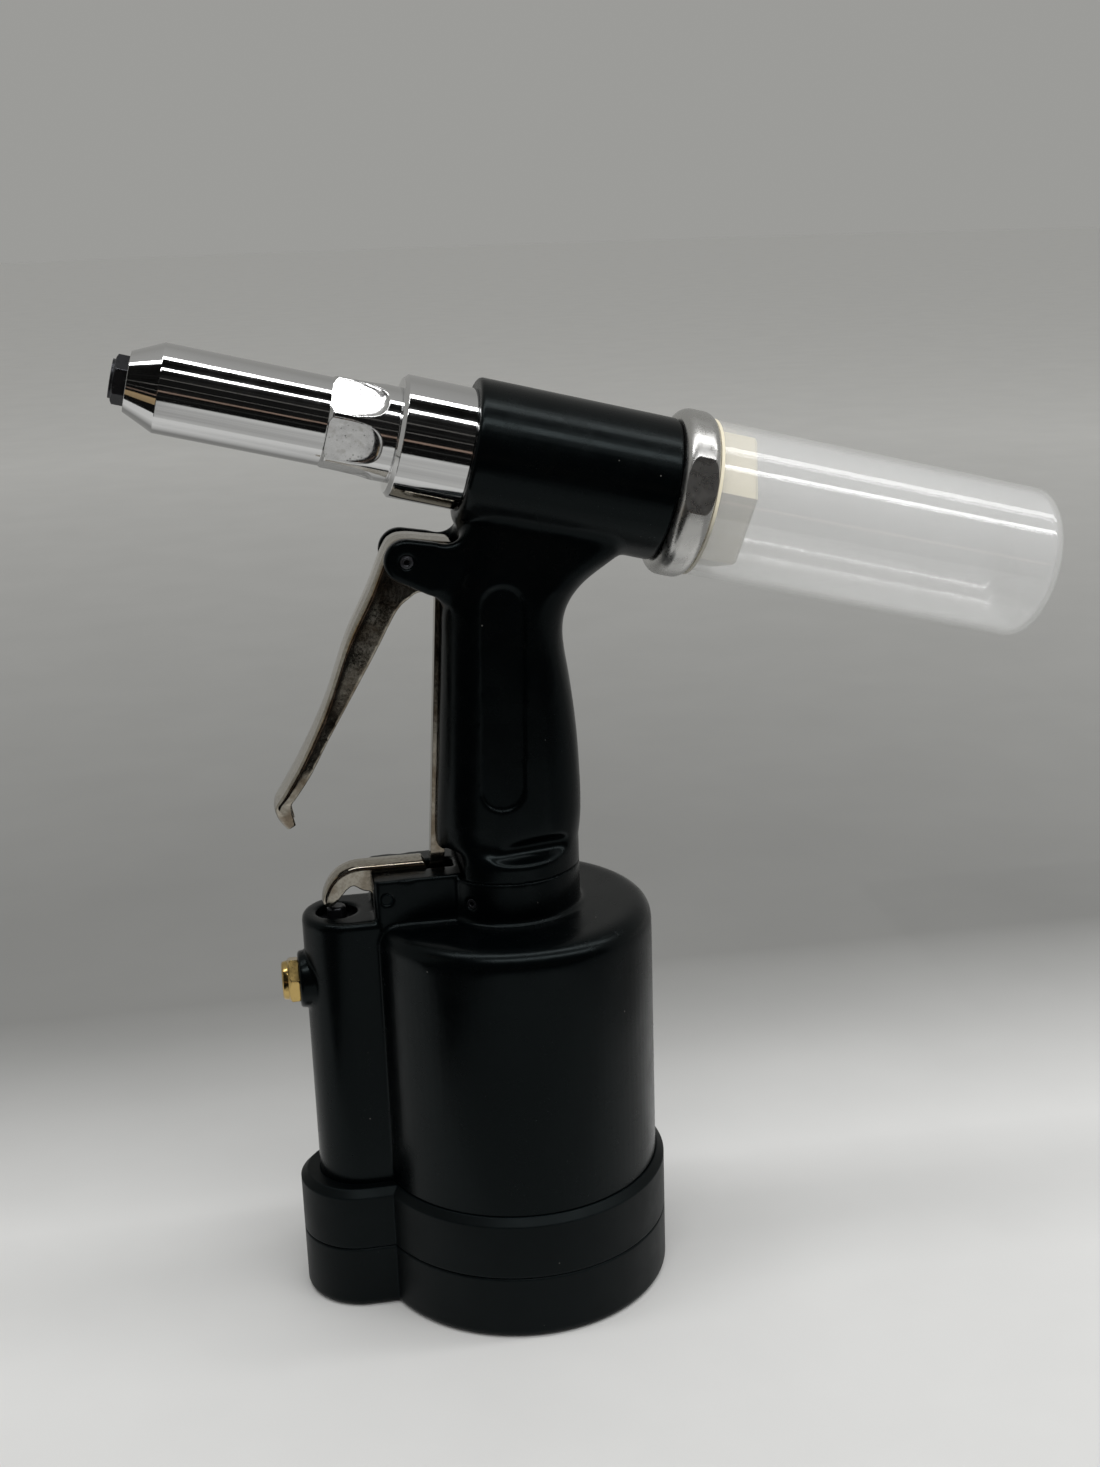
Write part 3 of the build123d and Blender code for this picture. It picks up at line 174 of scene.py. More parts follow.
# Turned outlines, each point a place along the axis and a radius: one end of the trigger pin, and the inlet
PIN_END = (
    (12.2, 2.0), (12.4, 1.8), (12.3, 1.6), (12.5, 1.4), (12.5, 1.0), (12.2, 0.8), (10.5, 0.8), (10.5, 0.0),
)
INLET_OUTLINE = (
    (61.5, 3.0), (61.5, 5.2), (67.65, 5.4), (67.65, 7.1), (68.0, 7.5), (70.2, 7.5), (71.1, 6.2), (72.1, 6.05),
    (72.6, 5.85), (72.9, 5.4), (73.0, 4.9), (73.0, 4.5), (72.6, 4.28), (64.0, 4.28), (64.0, 3.0), (61.5, 3.0),
)
INLET_HEIGHT = 108.0
INLET_TURN = radians(14.5)
INLET_FLAT = 6.5
INLET_FLAT_ENDS = (67.0, 71.3)
INLET_FLAT_WIDTH = 7.42
ADAPTER_TURN = radians(29.0)

# Each spring: its body, the joint that squeezes it, its ends along its axis, outer radius, wire, turns and
# travel. The valve spring's axis is upright, in front of the cylinder's
SPRINGS = {
    "return_spring": ("frame", "pull_piston_stroke", -45.0, -17.2, 15.69, 2.4, 4, 16.8),
    "jaw_spring": ("pull_piston", "jaw_pusher_slide", 47.0, 61.1, 6.2, 0.95, 8, 1.2),
    "valve_spring": ("frame", "valve_stem_press", 72.0, 97.4, 4.5, 1.05, 9, 3.6),
}
VALVE_SIDE = -54.5

# Where the mandrel guide ends, and the cutter that shortens it
GUIDE_END = -77.0
GUIDE_CUT = 20.0
GUIDE_CUT_RADIUS = 8.0

# The stage, in metres: the floor's radius, the depths between which its band of painted shade begins, and the
# distances between which its far colour begins
FLOOR_RADIUS = 12.0
FLOOR_BAND = (0.05, 0.23)
FLOOR_FAR = (0.4, 2.1)

# Strip lights: place, length, width, and the point that they face from their own place along the tool
STRIPS = {
    "front strip": ((0.8, -0.95, 1.62), 2.9, 0.14),
    "top strip": ((0.62, -0.06, 1.75), 3.26, 0.22),
}
STRIP_AIM = Vector((0.0, 0.0, 0.25))

# Cards that only polished surfaces show, painting reflections into them: name, size, place, turn, tone, and
# how much lighter the streaks are
DARK_TONE = (0.0062, 0.0062, 0.006)
LINE_TONE = (0.22, 0.21, 0.20)
LYING = (0.0, 0.0, 0.0)
CARDS = (
    ("dark front card", (6.0, 2.6), (0.0, -1.175, 1.25), (radians(104.6), 0.0, 0.0), DARK_TONE, 9.0),
    ("dark top card", (6.0, 1.42), (0.0, -0.80, 2.52), (pi, 0.0, 0.0), DARK_TONE, 9.0),
    ("dark floor card", (6.0, 0.4), (0.0, -0.82, 0.002), LYING, DARK_TONE, 1.0),
    ("grey floor card", (6.0, 0.52), (0.0, -0.36, 0.001), LYING, (0.52, 0.52, 0.51), 1.0),
    ("grey right card", (2.8, 0.92), (1.62, -0.16, 0.002), LYING, (0.28, 0.28, 0.275), 1.0),
    ("dark left card", (2.8, 0.52), (-1.58, -0.36, 0.002), LYING, DARK_TONE, 1.0),
    ("line card", (3.0, 0.03), (0.0, -0.9, 0.80), QUARTER_TURN, LINE_TONE, 1.0),
    ("line card", (3.0, 0.015), (0.0, -0.9, 0.50), QUARTER_TURN, LINE_TONE, 1.0),
    ("tan card", (3.0, 0.05), (0.0, -0.9, 0.27), QUARTER_TURN, (0.42, 0.30, 0.24), 1.0),
    ("nose card", (0.05, 0.034), (-0.224, -0.075, 0.256), (pi / 2, 0.0, -1.0), (0.64, 0.46, 0.26), 1.0),
)

# How steeply a view must rise to see the overhead colour begin and be full, and the camera's nearest sight
OVERHEAD_RISE = (0.70, 1.0)
CLIP_START = 0.01

# Shader noise: the range that it mostly keeps to, how wide a patch's rim is in it, and the step at a kept dot
NOISE_RANGE = (0.3, 0.7)
PATCH_RIM = 0.2
DOT_STEP = 0.01

# How alike the rounded and the plain surface are at an edge and away from it
EDGE_LIKENESS = (0.90, 0.995)

# The colour mix node's sockets
MIX_AMOUNT = 0
MIX_COLOURS = (6, 7)
MIX_RESULT = 2


def colour(name, text, value):
    """A colour setting."""
    return bpy.props.FloatVectorProperty(
        name=name, description=text, subtype="COLOR", size=3, min=0, max=1, default=value
    )


def share(name, text, value):
    """A plain number from nothing to one."""
    return bpy.props.FloatProperty(
        name=name, description=text, subtype="FACTOR", min=0, max=1, default=value
    )


def length(name, text, value):
    """A length, given here in millimetres."""
    return bpy.props.FloatProperty(
        name=name, description=text, unit="LENGTH", default=value * MM, precision=5
    )


def angle(name, text, value):
    """An angle, given here in degrees."""
    return bpy.props.FloatProperty(name=name, description=text, unit="ROTATION", default=radians(value))


def count(name, text, value):
    """A whole number."""
    return bpy.props.IntProperty(name=name, description=text, min=1, default=value)


class RiveterFinishes(bpy.types.PropertyGroup):
    """Colours and gloss of the riveter's finishes."""

    paint: colour("Paint", "Satin black paint on the castings", (0.0003, 0.0007, 0.0009))
    paint_gloss: share("Paint roughness", "Roughness of the black paint", 0.25)
    base_gloss: share("Base roughness", "Roughness of the base's coating", 0.44)
    dust: colour("Dust", "Dust on the paint", (0.26, 0.25, 0.23))
    chrome: colour("Chrome", "Bright chrome on head and collar", (0.696, 0.696, 0.696))
    grime: colour("Grime", "Grime on the chromed head's milled flats", (0.30, 0.285, 0.25))
    chrome_pit: colour("Chrome pits", "Pits in the chrome", (0.12, 0.11, 0.10))
    nickel: colour("Nickel", "Warm nickel on trigger, rod and lever", (0.43, 0.40, 0.34))
    nickel_stain: colour("Nickel stain", "Brown stain on the nickel", (0.17, 0.13, 0.09))
    nickel_pit: colour("Nickel pits", "Pits in the nickel", (0.10, 0.08, 0.06))
    aluminium: colour("Aluminium", "Satin machined aluminium of the rear cap", (0.576, 0.572, 0.558))
    bottle: colour("Bottle", "Milky plastic of the mandrel bottle", (0.93, 0.935, 0.93))
    bottle_cover: share("Bottle cover", "How much of what is behind it one face of the bottle covers", 0.27)
    cream: colour("Cream", "Cream plastic of the bottle adapter", (0.90, 0.83, 0.64))
    # The cream's darker tone on the adapter's downward faces: painted shade
    cream_shade: colour("Cream underside", "Shaded underside of the bottle adapter", (0.255, 0.246, 0.221))
    brass: colour("Brass", "Brass of the air inlet", (0.56, 0.40, 0.15))
    blued: colour("Blued steel", "Blued steel of nosepiece, pins and screws", (0.035, 0.036, 0.040))
    steel: colour("Steel", "Bright ground steel of inner pieces", (0.55, 0.55, 0.56))
    rubber: colour("Rubber", "Seals and bumper", (0.02, 0.02, 0.021))
    felt: colour("Felt", "Sintered muffler", (0.42, 0.36, 0.25))
    edge: length("Edge round", "Rounding that the finishes give to edges", 0.35)
    paint_edge: length("Paint edge round", "Rounding of the painted castings' edges", 0.8)


class RiveterSizes(bpy.types.PropertyGroup):
    """Sizes of the remade pieces."""

    frame_grain: length("Frame grain", "Size of the frame casting's skin cells", 0.45)
    cylinder_grain: length("Cylinder grain", "Size of the cylinder casting's skin cells", 0.6)
    passes: count("Smoothing", "How often the castings' skin is run smooth", 2)
    fillet_passes: count("Fillet smoothing", "How often the cast junctions are run smooth", 170)
    shoulder_passes: count("Shoulder smoothing", "How often the cylinder's upper rim is run smooth", 60)
    skin: count("Skin", "Most triangles that a casting keeps", 185000)
    head_rear: length("Head rear", "Rear end of the head, along the barrel's axis", 18.0)
    collar_front: length("Collar front", "Front face of the collar", 29.5)
    neck_front: length("Neck front", "Front end of the spanner neck", 48.4)
    tube_rear: length("Tube rear", "Rear end of the head's tube", 49.7)
    tube_front: length("Tube front", "Front end of the head's tube", 97.4)
    head_front: length("Head front", "Front face of the head's cone", 106.3)
    bore_front: length("Bore front", "Front end of the head's wide bore", 94.0)
    spigot_radius: length("Spigot radius", "Head's spigot in the collar", 12.45)
    neck_radius: length("Neck radius", "Round part of the spanner neck", 14.05)
    tube_radius: length("Tube radius", "Head's tube", 12.95)
    front_radius: length("Front radius", "Front of the head's cone", 8.7)
    thread_radius: length("Thread radius", "Thread for the nosepiece", 5.0)
    bore_radius: length("Bore radius", "Head's wide bore", 10.2)
    flat: length("Flat", "From the axis to each spanner flat", 12.4)
    flat_length: length("Flat length", "Length of each spanner flat", 16.8)
    flat_width: length("Flat width", "Width of the cutter for the flats", 16.0)
    flat_sweep: length("Flat sweep", "Round of the flats' rear ends", 7.0)
    flat_run: length("Flat run-out", "Sweep with which the cutter left each flat", 3.2)
    flat_turn: angle("Flat turn", "Turn of the flats from the near side", 13.7)


class RiveterStage(bpy.types.PropertyGroup):
    """Camera, lights and floor."""

    azimuth: angle("Azimuth", "Camera's turn round the riveter", -9.288)
    elevation: angle("Elevation", "Camera's height above the horizon", 16.518)
    roll: angle("Roll", "Camera's turn about its own view", -1.901)
    distance: length("Distance", "From the camera to the point it looks at", 567.63)
    aim_side: length("Aim to the side", "Aim point to the right of the cylinder's axis", 14.708)
    aim_height: length("Aim height", "Aim point above the floor", 182.553)
    lens: bpy.props.FloatProperty(
        name="Lens", description="Focal length", subtype="DISTANCE_CAMERA", default=45.09
    )
    floor_near: colour("Floor", "Pale floor under the riveter", (0.73, 0.73, 0.72))
    # The floor's band of painted shade behind the riveter
    floor_painted_shade: colour("Floor band", "Shaded floor behind the riveter", (0.25, 0.25, 0.242))
    floor_far: colour("Far floor", "Floor where it meets the surroundings", (0.70, 0.697, 0.673))
    wall: colour("Wall", "Pale surroundings as they show", (0.330, 0.329, 0.316))
    overhead: colour("Overhead", "Surroundings overhead as polished pieces show them", (0.42, 0.42, 0.41))
    glow: colour("Glow", "Soft light from the surroundings", (0.46, 0.46, 0.455))
    strip_power: bpy.props.FloatProperty(
        name="Strip lights", description="Power of each strip light", unit="POWER", default=14.0
    )


def feed(tree, socket, value):
    """Gives a node's input a plain value, or joins it to another node's socket."""
    if isinstance(value, bpy.types.NodeSocket):
        tree.links.new(value, socket)
    else:
        socket.default_value = value


def node(tree, kind, inputs=None, **settings):
    """Adds a node: its inputs are values, or other nodes' sockets to join."""
    made = tree.nodes.new(kind)
    for name, value in settings.items():
        setattr(made, name, value)
    for name, value in (inputs or {}).items():
        feed(tree, made.inputs[name], value)
    return made


def plain_surface(tree):
    """The surface's own direction, without relief."""
    return node(tree, "ShaderNodeNewGeometry").outputs["Normal"]


def part_of(tree, vector, axis):
    """One part of a place or direction."""
    return node(tree, "ShaderNodeSeparateXYZ", {"Vector": vector}).outputs[axis]


def reach(tree, vector):
    """How long a place or direction is."""
    return node(tree, "ShaderNodeVectorMath", {0: vector}, operation="LENGTH").outputs["Value"]


def place_of(tree, stretch=(1.0, 1.0, 1.0), turn=(0.0, 0.0, 0.0), centre=(0.0, 0.0, 0.0)):
    """The place on the piece from a centre, turned into the piece's own direction and stretched along it."""
    where = node(tree, "ShaderNodeTexCoord").outputs["Object"]
    inputs = {"Vector": where, "Location": centre, "Rotation": turn}
    turned = node(tree, "ShaderNodeMapping", inputs, vector_type="TEXTURE")
    return node(tree, "ShaderNodeMapping", {"Vector": turned.outputs[0], "Scale": stretch}).outputs[0]


def along_barrel(tree, stretch=(1.0, 1.0, 1.0)):
    """The place on a piece of the barrel, with X along the barrel's axis."""
    return place_of(tree, stretch, (0.0, BARREL_TILT, 0.0), (0.0, 0.0, BARREL_HEIGHT))


def cloud(tree, size, place=None, detail=3.0, rough=0.55):
    """Soft noise whose spots are about as large as the size, in millimetres."""
    where = place or place_of(tree)
    inputs = {"Vector": where, "Scale": 1 / (size * MM), "Detail": detail, "Roughness": rough}
    return node(tree, "ShaderNodeTexNoise", inputs).outputs["Fac"]


def spread(tree, value, low, high, to_low, to_high):
    """Carries a range of values over to another, clamped."""
    inputs = {"Value": value, "From Min": low, "From Max": high, "To Min": to_low, "To Max": to_high}
    return node(tree, "ShaderNodeMapRange", inputs).outputs["Result"]


def uneven(tree, size, low, high, place=None):
    """A value that wanders between two others over spots of a size in millimetres."""
    return spread(tree, cloud(tree, size, place), *NOISE_RANGE, low, high)


def patches(tree, size, start, amount, place=None):
    """Scattered patches: nothing over most of the surface, rising to an amount."""
    return spread(tree, cloud(tree, size, place), start, start + PATCH_RIM, 0.0, amount)


def maths(tree, operation, first, second=0.0):
    """What a mathematical operation makes of one or two values."""
    made = node(tree, "ShaderNodeMath", operation=operation)
    for socket, value in zip(made.inputs, (first, second)):
        feed(tree, socket, value)
    return made.outputs[0]


def times(tree, first, second):
    """One value times another."""
    return maths(tree, "MULTIPLY", first, second)


def specks(tree, spacing, size, kept=0.27):
    """Scattered dots: 1 in the middle of a dot and 0 between, with only some of the cells kept."""
    inputs = {"Vector": place_of(tree), "Scale": 1 / (spacing * MM), "Randomness": 1.0}
    cells = node(tree, "ShaderNodeTexVoronoi", inputs)
    dot = spread(tree, cells.outputs["Distance"], 0.0, size / spacing, 1.0, 0.0)
    chance = node(tree, "ShaderNodeSeparateColor", {"Color": cells.outputs["Color"]}).outputs["Red"]
    return times(tree, dot, spread(tree, chance, 1 - kept, 1 - kept + DOT_STEP, 0.0, 1.0))


def blend(tree, amount, first, second):
    """A colour that goes from the first to the second."""
    made = node(tree, "ShaderNodeMix", {MIX_AMOUNT: amount}, data_type="RGBA")
    for number, value in zip(MIX_COLOURS, (first, second)):
        linked = isinstance(value, bpy.types.NodeSocket)
        feed(tree, made.inputs[number], value if linked else (*value, 1.0))
    return made.outputs[MIX_RESULT]


def relief(tree, height, depth, under):
    """Bumps of a depth in millimetres, over another relief."""
    inputs = {"Height": height, "Strength": 1.0, "Distance": depth * MM, "Normal": under}
    return node(tree, "ShaderNodeBump", inputs).outputs["Normal"]


def soft_edges(tree, radius):
    """The surface with its edges rounded."""
    return node(tree, "ShaderNodeBevel", {"Radius": radius}, samples=6).outputs["Normal"]


def near_edges(tree, rounded):
    """How near an edge each place is: 1 where the rounding turns the surface, and 0 elsewhere."""
    inputs = {0: rounded, 1: plain_surface(tree)}
    alike = node(tree, "ShaderNodeVectorMath", inputs, operation="DOT_PRODUCT").outputs["Value"]
    return spread(tree, alike, *EDGE_LIKENESS, 1.0, 0.0)


def finish(name, **sockets):
    """A new material, its tree and its shader, with plain values set on the shader."""
    made = bpy.data.materials.new(name)
    made.use_nodes = True
    shader = made.node_tree.nodes["Principled BSDF"]
    for socket, value in sockets.items():
        shader.inputs[socket.replace("_", " ")].default_value = value
    return made, made.node_tree, shader


def join(tree, shader, **sockets):
    """Joins worked-out values to the shader."""
    for socket, value in sockets.items():
        tree.links.new(value, shader.inputs[socket.replace("_", " ")])


def toned(value, gain):
    """A colour made lighter or darker."""
    return tuple(min(1.0, part * gain) for part in value)


def black_paint(look):
    """Satin black paint over cast metal."""
    return painted("satin black paint", look, look.paint_gloss)


def base_paint(look):
    """The base's duller black coating."""
    return painted("matt black coating", look, look.base_gloss)


def painted(name, look, gloss):
    """Black paint with fine orange peel, uneven sheen, a painted sheen lighter along its edges, and a little
    dust.
    """
    tint = (0.80, 0.97, 1.0, 1.0)
    made, tree, shader = finish(name, IOR=1.5, Specular_IOR_Level=0.14, Specular_Tint=tint)
    rounded = soft_edges(tree, look.paint_edge)
    base = blend(tree, uneven(tree, 22.0, 0.0, 1.0), toned(look.paint, 0.8), toned(look.paint, 1.25))
    # Lighter paint along the edges: a painted sheen
    lighter_edges = times(tree, near_edges(tree, rounded), uneven(tree, 4.0, 0.0, 0.7))
    with_painted_sheen = blend(tree, lighter_edges, base, toned(look.paint, 14.0))
    dust = times(tree, specks(tree, 6.0, 0.3), 0.6)
    peel = relief(tree, cloud(tree, 0.9, detail=2.0), 0.004, rounded)
    join(
        tree, shader,
        Base_Color=blend(tree, dust, with_painted_sheen, look.dust),
        Roughness=uneven(tree, 9.0, gloss - 0.04, gloss + 0.05),
        Normal=relief(tree, cloud(tree, 8.0, detail=1.0), 0.010, peel),
    )
    return made


def milled_flats(tree, sizes):
    """1 on the head's milled flats and 0 elsewhere: below the round neck, between the collar and the tube."""
    deep = sizes.neck_radius - 0.25 * MM
    shallow = sizes.neck_radius - 0.1 * MM
    fade = 0.4 * MM
    parts = node(tree, "ShaderNodeSeparateXYZ", {"Vector": along_barrel(tree)}).outputs
    across = node(tree, "ShaderNodeCombineXYZ", {"Y": parts["Y"], "Z": parts["Z"]}).outputs[0]
    below = spread(tree, reach(tree, across), deep, shallow, 1.0, 0.0)
    in_front = spread(tree, parts["X"], -sizes.tube_rear, -sizes.tube_rear + fade, 0.0, 1.0)
    behind = spread(tree, parts["X"], -sizes.collar_front - fade, -sizes.collar_front, 1.0, 0.0)
    return times(tree, below, times(tree, in_front, behind))


def bright_chrome(look):
    """Polished chrome: smudges, polishing lines along the barrel, pits, and rough-milled spanner flats."""
    made, tree, shader = finish("bright chrome", Metallic=1.0)
    rounded = soft_edges(tree, look.edge)
    milled = milled_flats(tree, bpy.context.scene.riveter_sizes)
    lines = relief(tree, cloud(tree, 0.7, along_barrel(tree, (0.03, 1.0, 1.0))), 0.0016, rounded)
    waves = times(tree, cloud(tree, 5.0, detail=2.0), milled)
    ripple = relief(tree, waves, 0.16, relief(tree, cloud(tree, 9.0, detail=1.0), 0.006, lines))
    pits = times(tree, specks(tree, 1.1, 0.28, 0.5), milled)
    dots = maths(tree, "ADD", times(tree, pits, 0.75), times(tree, specks(tree, 3.0, 0.18), 0.5))
    grime = times(tree, milled, patches(tree, 2.2, 0.52, 0.45))
    clean = blend(tree, milled, look.chrome, toned(look.chrome, 0.95))
    smudged = uneven(tree, 12.0, 0.03, 0.09)
    rough = times(tree, milled, uneven(tree, 2.5, 0.05, 0.20))
    join(
        tree, shader,
        Base_Color=blend(tree, dots, blend(tree, grime, clean, look.grime), look.chrome_pit),
        Roughness=maths(tree, "ADD", smudged, rough),
        Normal=relief(tree, pits, -0.02, ripple),
    )
    return made


def warm_nickel(look):
    """Nickel plate on pressed steel: drawing lines, soft unevenness, stains, small pits and painted glints
    along its edges.
    """
    made, tree, shader = finish("warm nickel", Metallic=1.0)
    rounded = soft_edges(tree, look.edge)
    sideways = maths(tree, "ABSOLUTE", part_of(tree, plain_surface(tree), "Y"))
    handled = times(tree, spread(tree, sideways, 0.4, 0.9, 0.2, 1.0), patches(tree, 8.0, 0.42, 0.85))
    warm = blend(tree, handled, look.nickel, look.nickel_stain)
    stained = blend(tree, patches(tree, 0.9, 0.42, 0.3), warm, toned(look.nickel_stain, 0.6))
    # Lighter nickel along the rims: painted glints
    painted_edge_glints = blend(tree, near_edges(tree, rounded), stained, toned(look.nickel, 1.25))
    pits = specks(tree, 2.0, 0.2)
    lines = relief(tree, cloud(tree, 0.5, place_of(tree, (1.0, 1.0, 0.12)), detail=2.0), 0.003, rounded)
    waves = relief(tree, cloud(tree, 6.0, detail=1.0), 0.018, lines)
    join(
        tree, shader,
        Base_Color=blend(tree, times(tree, pits, 0.7), painted_edge_glints, look.nickel_pit),
        Roughness=maths(tree, "ADD", uneven(tree, 9.0, 0.07, 0.16), patches(tree, 0.8, 0.40, 0.06)),
        Normal=relief(tree, cloud(tree, 0.7), 0.006, waves),
    )
    return made


def turned_aluminium(look):
    """Machined aluminium: turning lines round the barrel's axis, cloudy sheen and handling marks."""
    made, tree, shader = finish("turned aluminium", Metallic=1.0)
    rounded = soft_edges(tree, look.edge)
    rings = cloud(tree, 0.3, along_barrel(tree, (1.0, 0.01, 0.01)), detail=1.0)
    marked = blend(tree, patches(tree, 2.0, 0.5, 0.12), look.aluminium, toned(look.aluminium, 0.7))
    join(
        tree, shader,
        Base_Color=marked,
        Roughness=uneven(tree, 3.5, 0.24, 0.33),
        Normal=relief(tree, cloud(tree, 3.0), 0.004, relief(tree, rings, 0.004, rounded)),
    )
    return made


def milky_plastic(look):
    """Blown milky plastic: what is close behind it shows through, glossy, with faint flow streaks."""
    coat = {"Coat_Weight": 1.0, "Coat_Roughness": 0.04, "Coat_IOR": 2.3}
    made, tree, shader = finish("milky plastic", IOR=1.49, **coat)
    streak = cloud(tree, 3.0, along_barrel(tree, (0.05, 1.0, 1.0)))
    streaky = spread(tree, streak, *NOISE_RANGE, 0.0, 1.0)
    join(
        tree, shader,
        Base_Color=blend(tree, streaky, look.bottle, toned(look.bottle, 0.97)),
        Roughness=uneven(tree, 10.0, 0.22, 0.30),
        Alpha=uneven(tree, 18.0, look.bottle_cover - 0.02, look.bottle_cover + 0.02),
        Normal=relief(tree, streak, 0.008, plain_surface(tree)),
    )
    return made


def cream_plastic(look):
    """Moulded cream plastic with a fine grain, with painted shade on the faces that look down."""
    made, tree, shader = finish("cream plastic", IOR=1.5)
    rounded = soft_edges(tree, look.edge)
    # Faces that look down are painted darker: painted shade
    shaded_below = spread(tree, part_of(tree, plain_surface(tree), "Z"), -0.35, 0.05, 0.85, 0.0)
    clean = blend(tree, uneven(tree, 14.0, 0.0, 1.0), look.cream, toned(look.cream, 0.94))
    join(
        tree, shader,
        Base_Color=blend(tree, shaded_below, clean, look.cream_shade),
        Roughness=uneven(tree, 5.0, 0.40, 0.50),
        Normal=relief(tree, cloud(tree, 0.4), 0.006, rounded),
    )
    return made


def old_brass(look):
    """Brass with turning lines and darker tarnish, and painted shade along its edges."""
    made, tree, shader = finish("brass", Metallic=1.0)
    rounded = soft_edges(tree, look.edge)
    dulled = blend(tree, patches(tree, 1.5, 0.5, 0.2), look.brass, toned(look.brass, 0.7))
    join(
        tree, shader,
        # Darker brass along the edges: painted shade
        Base_Color=blend(tree, near_edges(tree, rounded), dulled, toned(look.brass, 0.5)),
        Roughness=uneven(tree, 2.0, 0.12, 0.20),
        Normal=relief(tree, cloud(tree, 0.6), 0.002, rounded),
    )
    return made


def blued_steel(look):
    """Blued steel: dark, a little oily, and lighter along its edges."""
    made, tree, shader = finish("blued steel", Metallic=0.9)
    rounded = soft_edges(tree, look.edge)
    lighter_edges = times(tree, near_edges(tree, rounded), uneven(tree, 1.5, 0.1, 0.7))
    paler = maths(tree, "ADD", patches(tree, 2.5, 0.6, 0.4), lighter_edges)
    join(
        tree, shader,
        Base_Color=blend(tree, paler, look.blued, toned(look.blued, 7.0)),
        Roughness=uneven(tree, 2.0, 0.24, 0.38),
        Normal=relief(tree, cloud(tree, 0.5), 0.008, rounded),
    )
    return made


def ground_steel(look):
    """Ground steel with fine scratches and light oil stains."""
    made, tree, shader = finish("ground steel", Metallic=1.0)
    rounded = soft_edges(tree, look.edge)
    join(
        tree, shader,
        Base_Color=blend(tree, patches(tree, 6.0, 0.5, 0.55), look.steel, toned(look.steel, 0.55)),
        Roughness=uneven(tree, 2.0, 0.18, 0.32),
        Normal=relief(tree, cloud(tree, 0.3), 0.003, rounded),
    )
    return made


def seal_rubber(look):
    """Moulded rubber with a matt, slightly dusty skin."""
    made, tree, shader = finish("seal rubber", IOR=1.5)
    rounded = soft_edges(tree, look.edge)
    join(
        tree, shader,
        Base_Color=blend(tree, patches(tree, 4.0, 0.42, 0.6), look.rubber, toned(look.rubber, 2.6)),
        Roughness=uneven(tree, 1.5, 0.52, 0.68),
        Normal=relief(tree, cloud(tree, 0.3), 0.008, rounded),
    )
    return made


def sintered_felt(look):
    """Pressed, open-grained muffler body."""
    made, tree, shader = finish("sintered felt", IOR=1.45)
    rounded = soft_edges(tree, look.edge)
    grains = cloud(tree, 0.6)
    open_grain = spread(tree, grains, *NOISE_RANGE, 0.0, 1.0)
    join(
        tree, shader,
        Base_Color=blend(tree, open_grain, toned(look.felt, 0.55), look.felt),
        Roughness=uneven(tree, 1.0, 0.75, 0.92),
        Normal=relief(tree, grains, 0.08, rounded),
    )
    return made


FINISHES = {
    "black_paint": black_paint,
    "base_paint": base_paint,
    "chrome": bright_chrome,
    "nickel": warm_nickel,
    "satin_aluminium": turned_aluminium,
    "cream_plastic": cream_plastic,
    "milky_plastic": milky_plastic,
    "brass": old_brass,
    "dark_steel": blued_steel,
    "steel": ground_steel,
    "rubber": seal_rubber,
    "felt": sintered_felt,
}

# Pieces whose finish is another than their slot in the record names
OTHER_FINISHES = {
    "trigger_pin": "dark_steel",
    "lever_pin": "black_paint",
    "neck_set_screw": "dark_steel",
    "valve_bush": "dark_steel",
    "valve_stem": "dark_steel",
    "base_ring": "base_paint",
    "base_cover": "base_paint",
}

# Materials made so far, by slot
made_finishes = {}


def finish_for(slot):
    """The material for one of the record's slots, made once."""
    if slot not in made_finishes:
        made_finishes[slot] = FINISHES[slot](bpy.context.scene.riveter_finishes)
    return made_finishes[slot]


def deselect():
    """Leaves nothing selected."""
    if bpy.context.object and bpy.context.object.mode != "OBJECT":
        bpy.ops.object.mode_set(mode="OBJECT")
    bpy.ops.object.select_all(action="DESELECT")


def pick(piece):
    """Selects one piece alone and makes it the active one."""
    deselect()
    piece.select_set(True)
    bpy.context.view_layer.objects.active = piece


def edit():
    """Goes into edit mode with everything selected."""
    bpy.ops.object.mode_set(mode="EDIT")
    bpy.ops.mesh.select_mode(type="VERT")
    bpy.ops.mesh.select_all(action="SELECT")


def settle(piece):
    """Puts a piece's turn, place and size into its mesh."""
    pick(piece)
    bpy.ops.object.transform_apply(location=True, rotation=True, scale=True)


def modify(piece, kind, **settings):
    """Adds a modifier and applies it."""
    pick(piece)
    added = piece.modifiers.new(kind.lower(), kind)
    for name, value in settings.items():
        setattr(added, name, value)
    bpy.ops.object.modifier_apply(modifier=added.name)


def cut(piece, cutter):
    """Takes the cutter's shape out of the piece, and the cutter away."""
    modify(piece, "BOOLEAN", object=cutter, operation="DIFFERENCE", solver="EXACT")
    bpy.data.objects.remove(cutter)


def reskin(piece, grain):
    """Makes a piece's skin anew from cells of a size in metres."""
    modify(piece, "REMESH", mode="VOXEL", voxel_size=grain, use_smooth_shade=True)


def run_smooth(piece, passes, group=""):
    """Runs a piece's skin smooth, or only the part that a group of points weighs."""
    modify(piece, "SMOOTH", factor=SMOOTHING, iterations=passes, vertex_group=group)


def smooth(piece, turn=30.0):
    """Smooth shading that keeps edges sharper than a turn in degrees."""
    pick(piece)
    bpy.ops.object.shade_smooth_by_angle(angle=radians(turn))


def in_metres(*lengths):
    """Lengths in millimetres, made metres."""
    return tuple(value * MM for value in lengths)


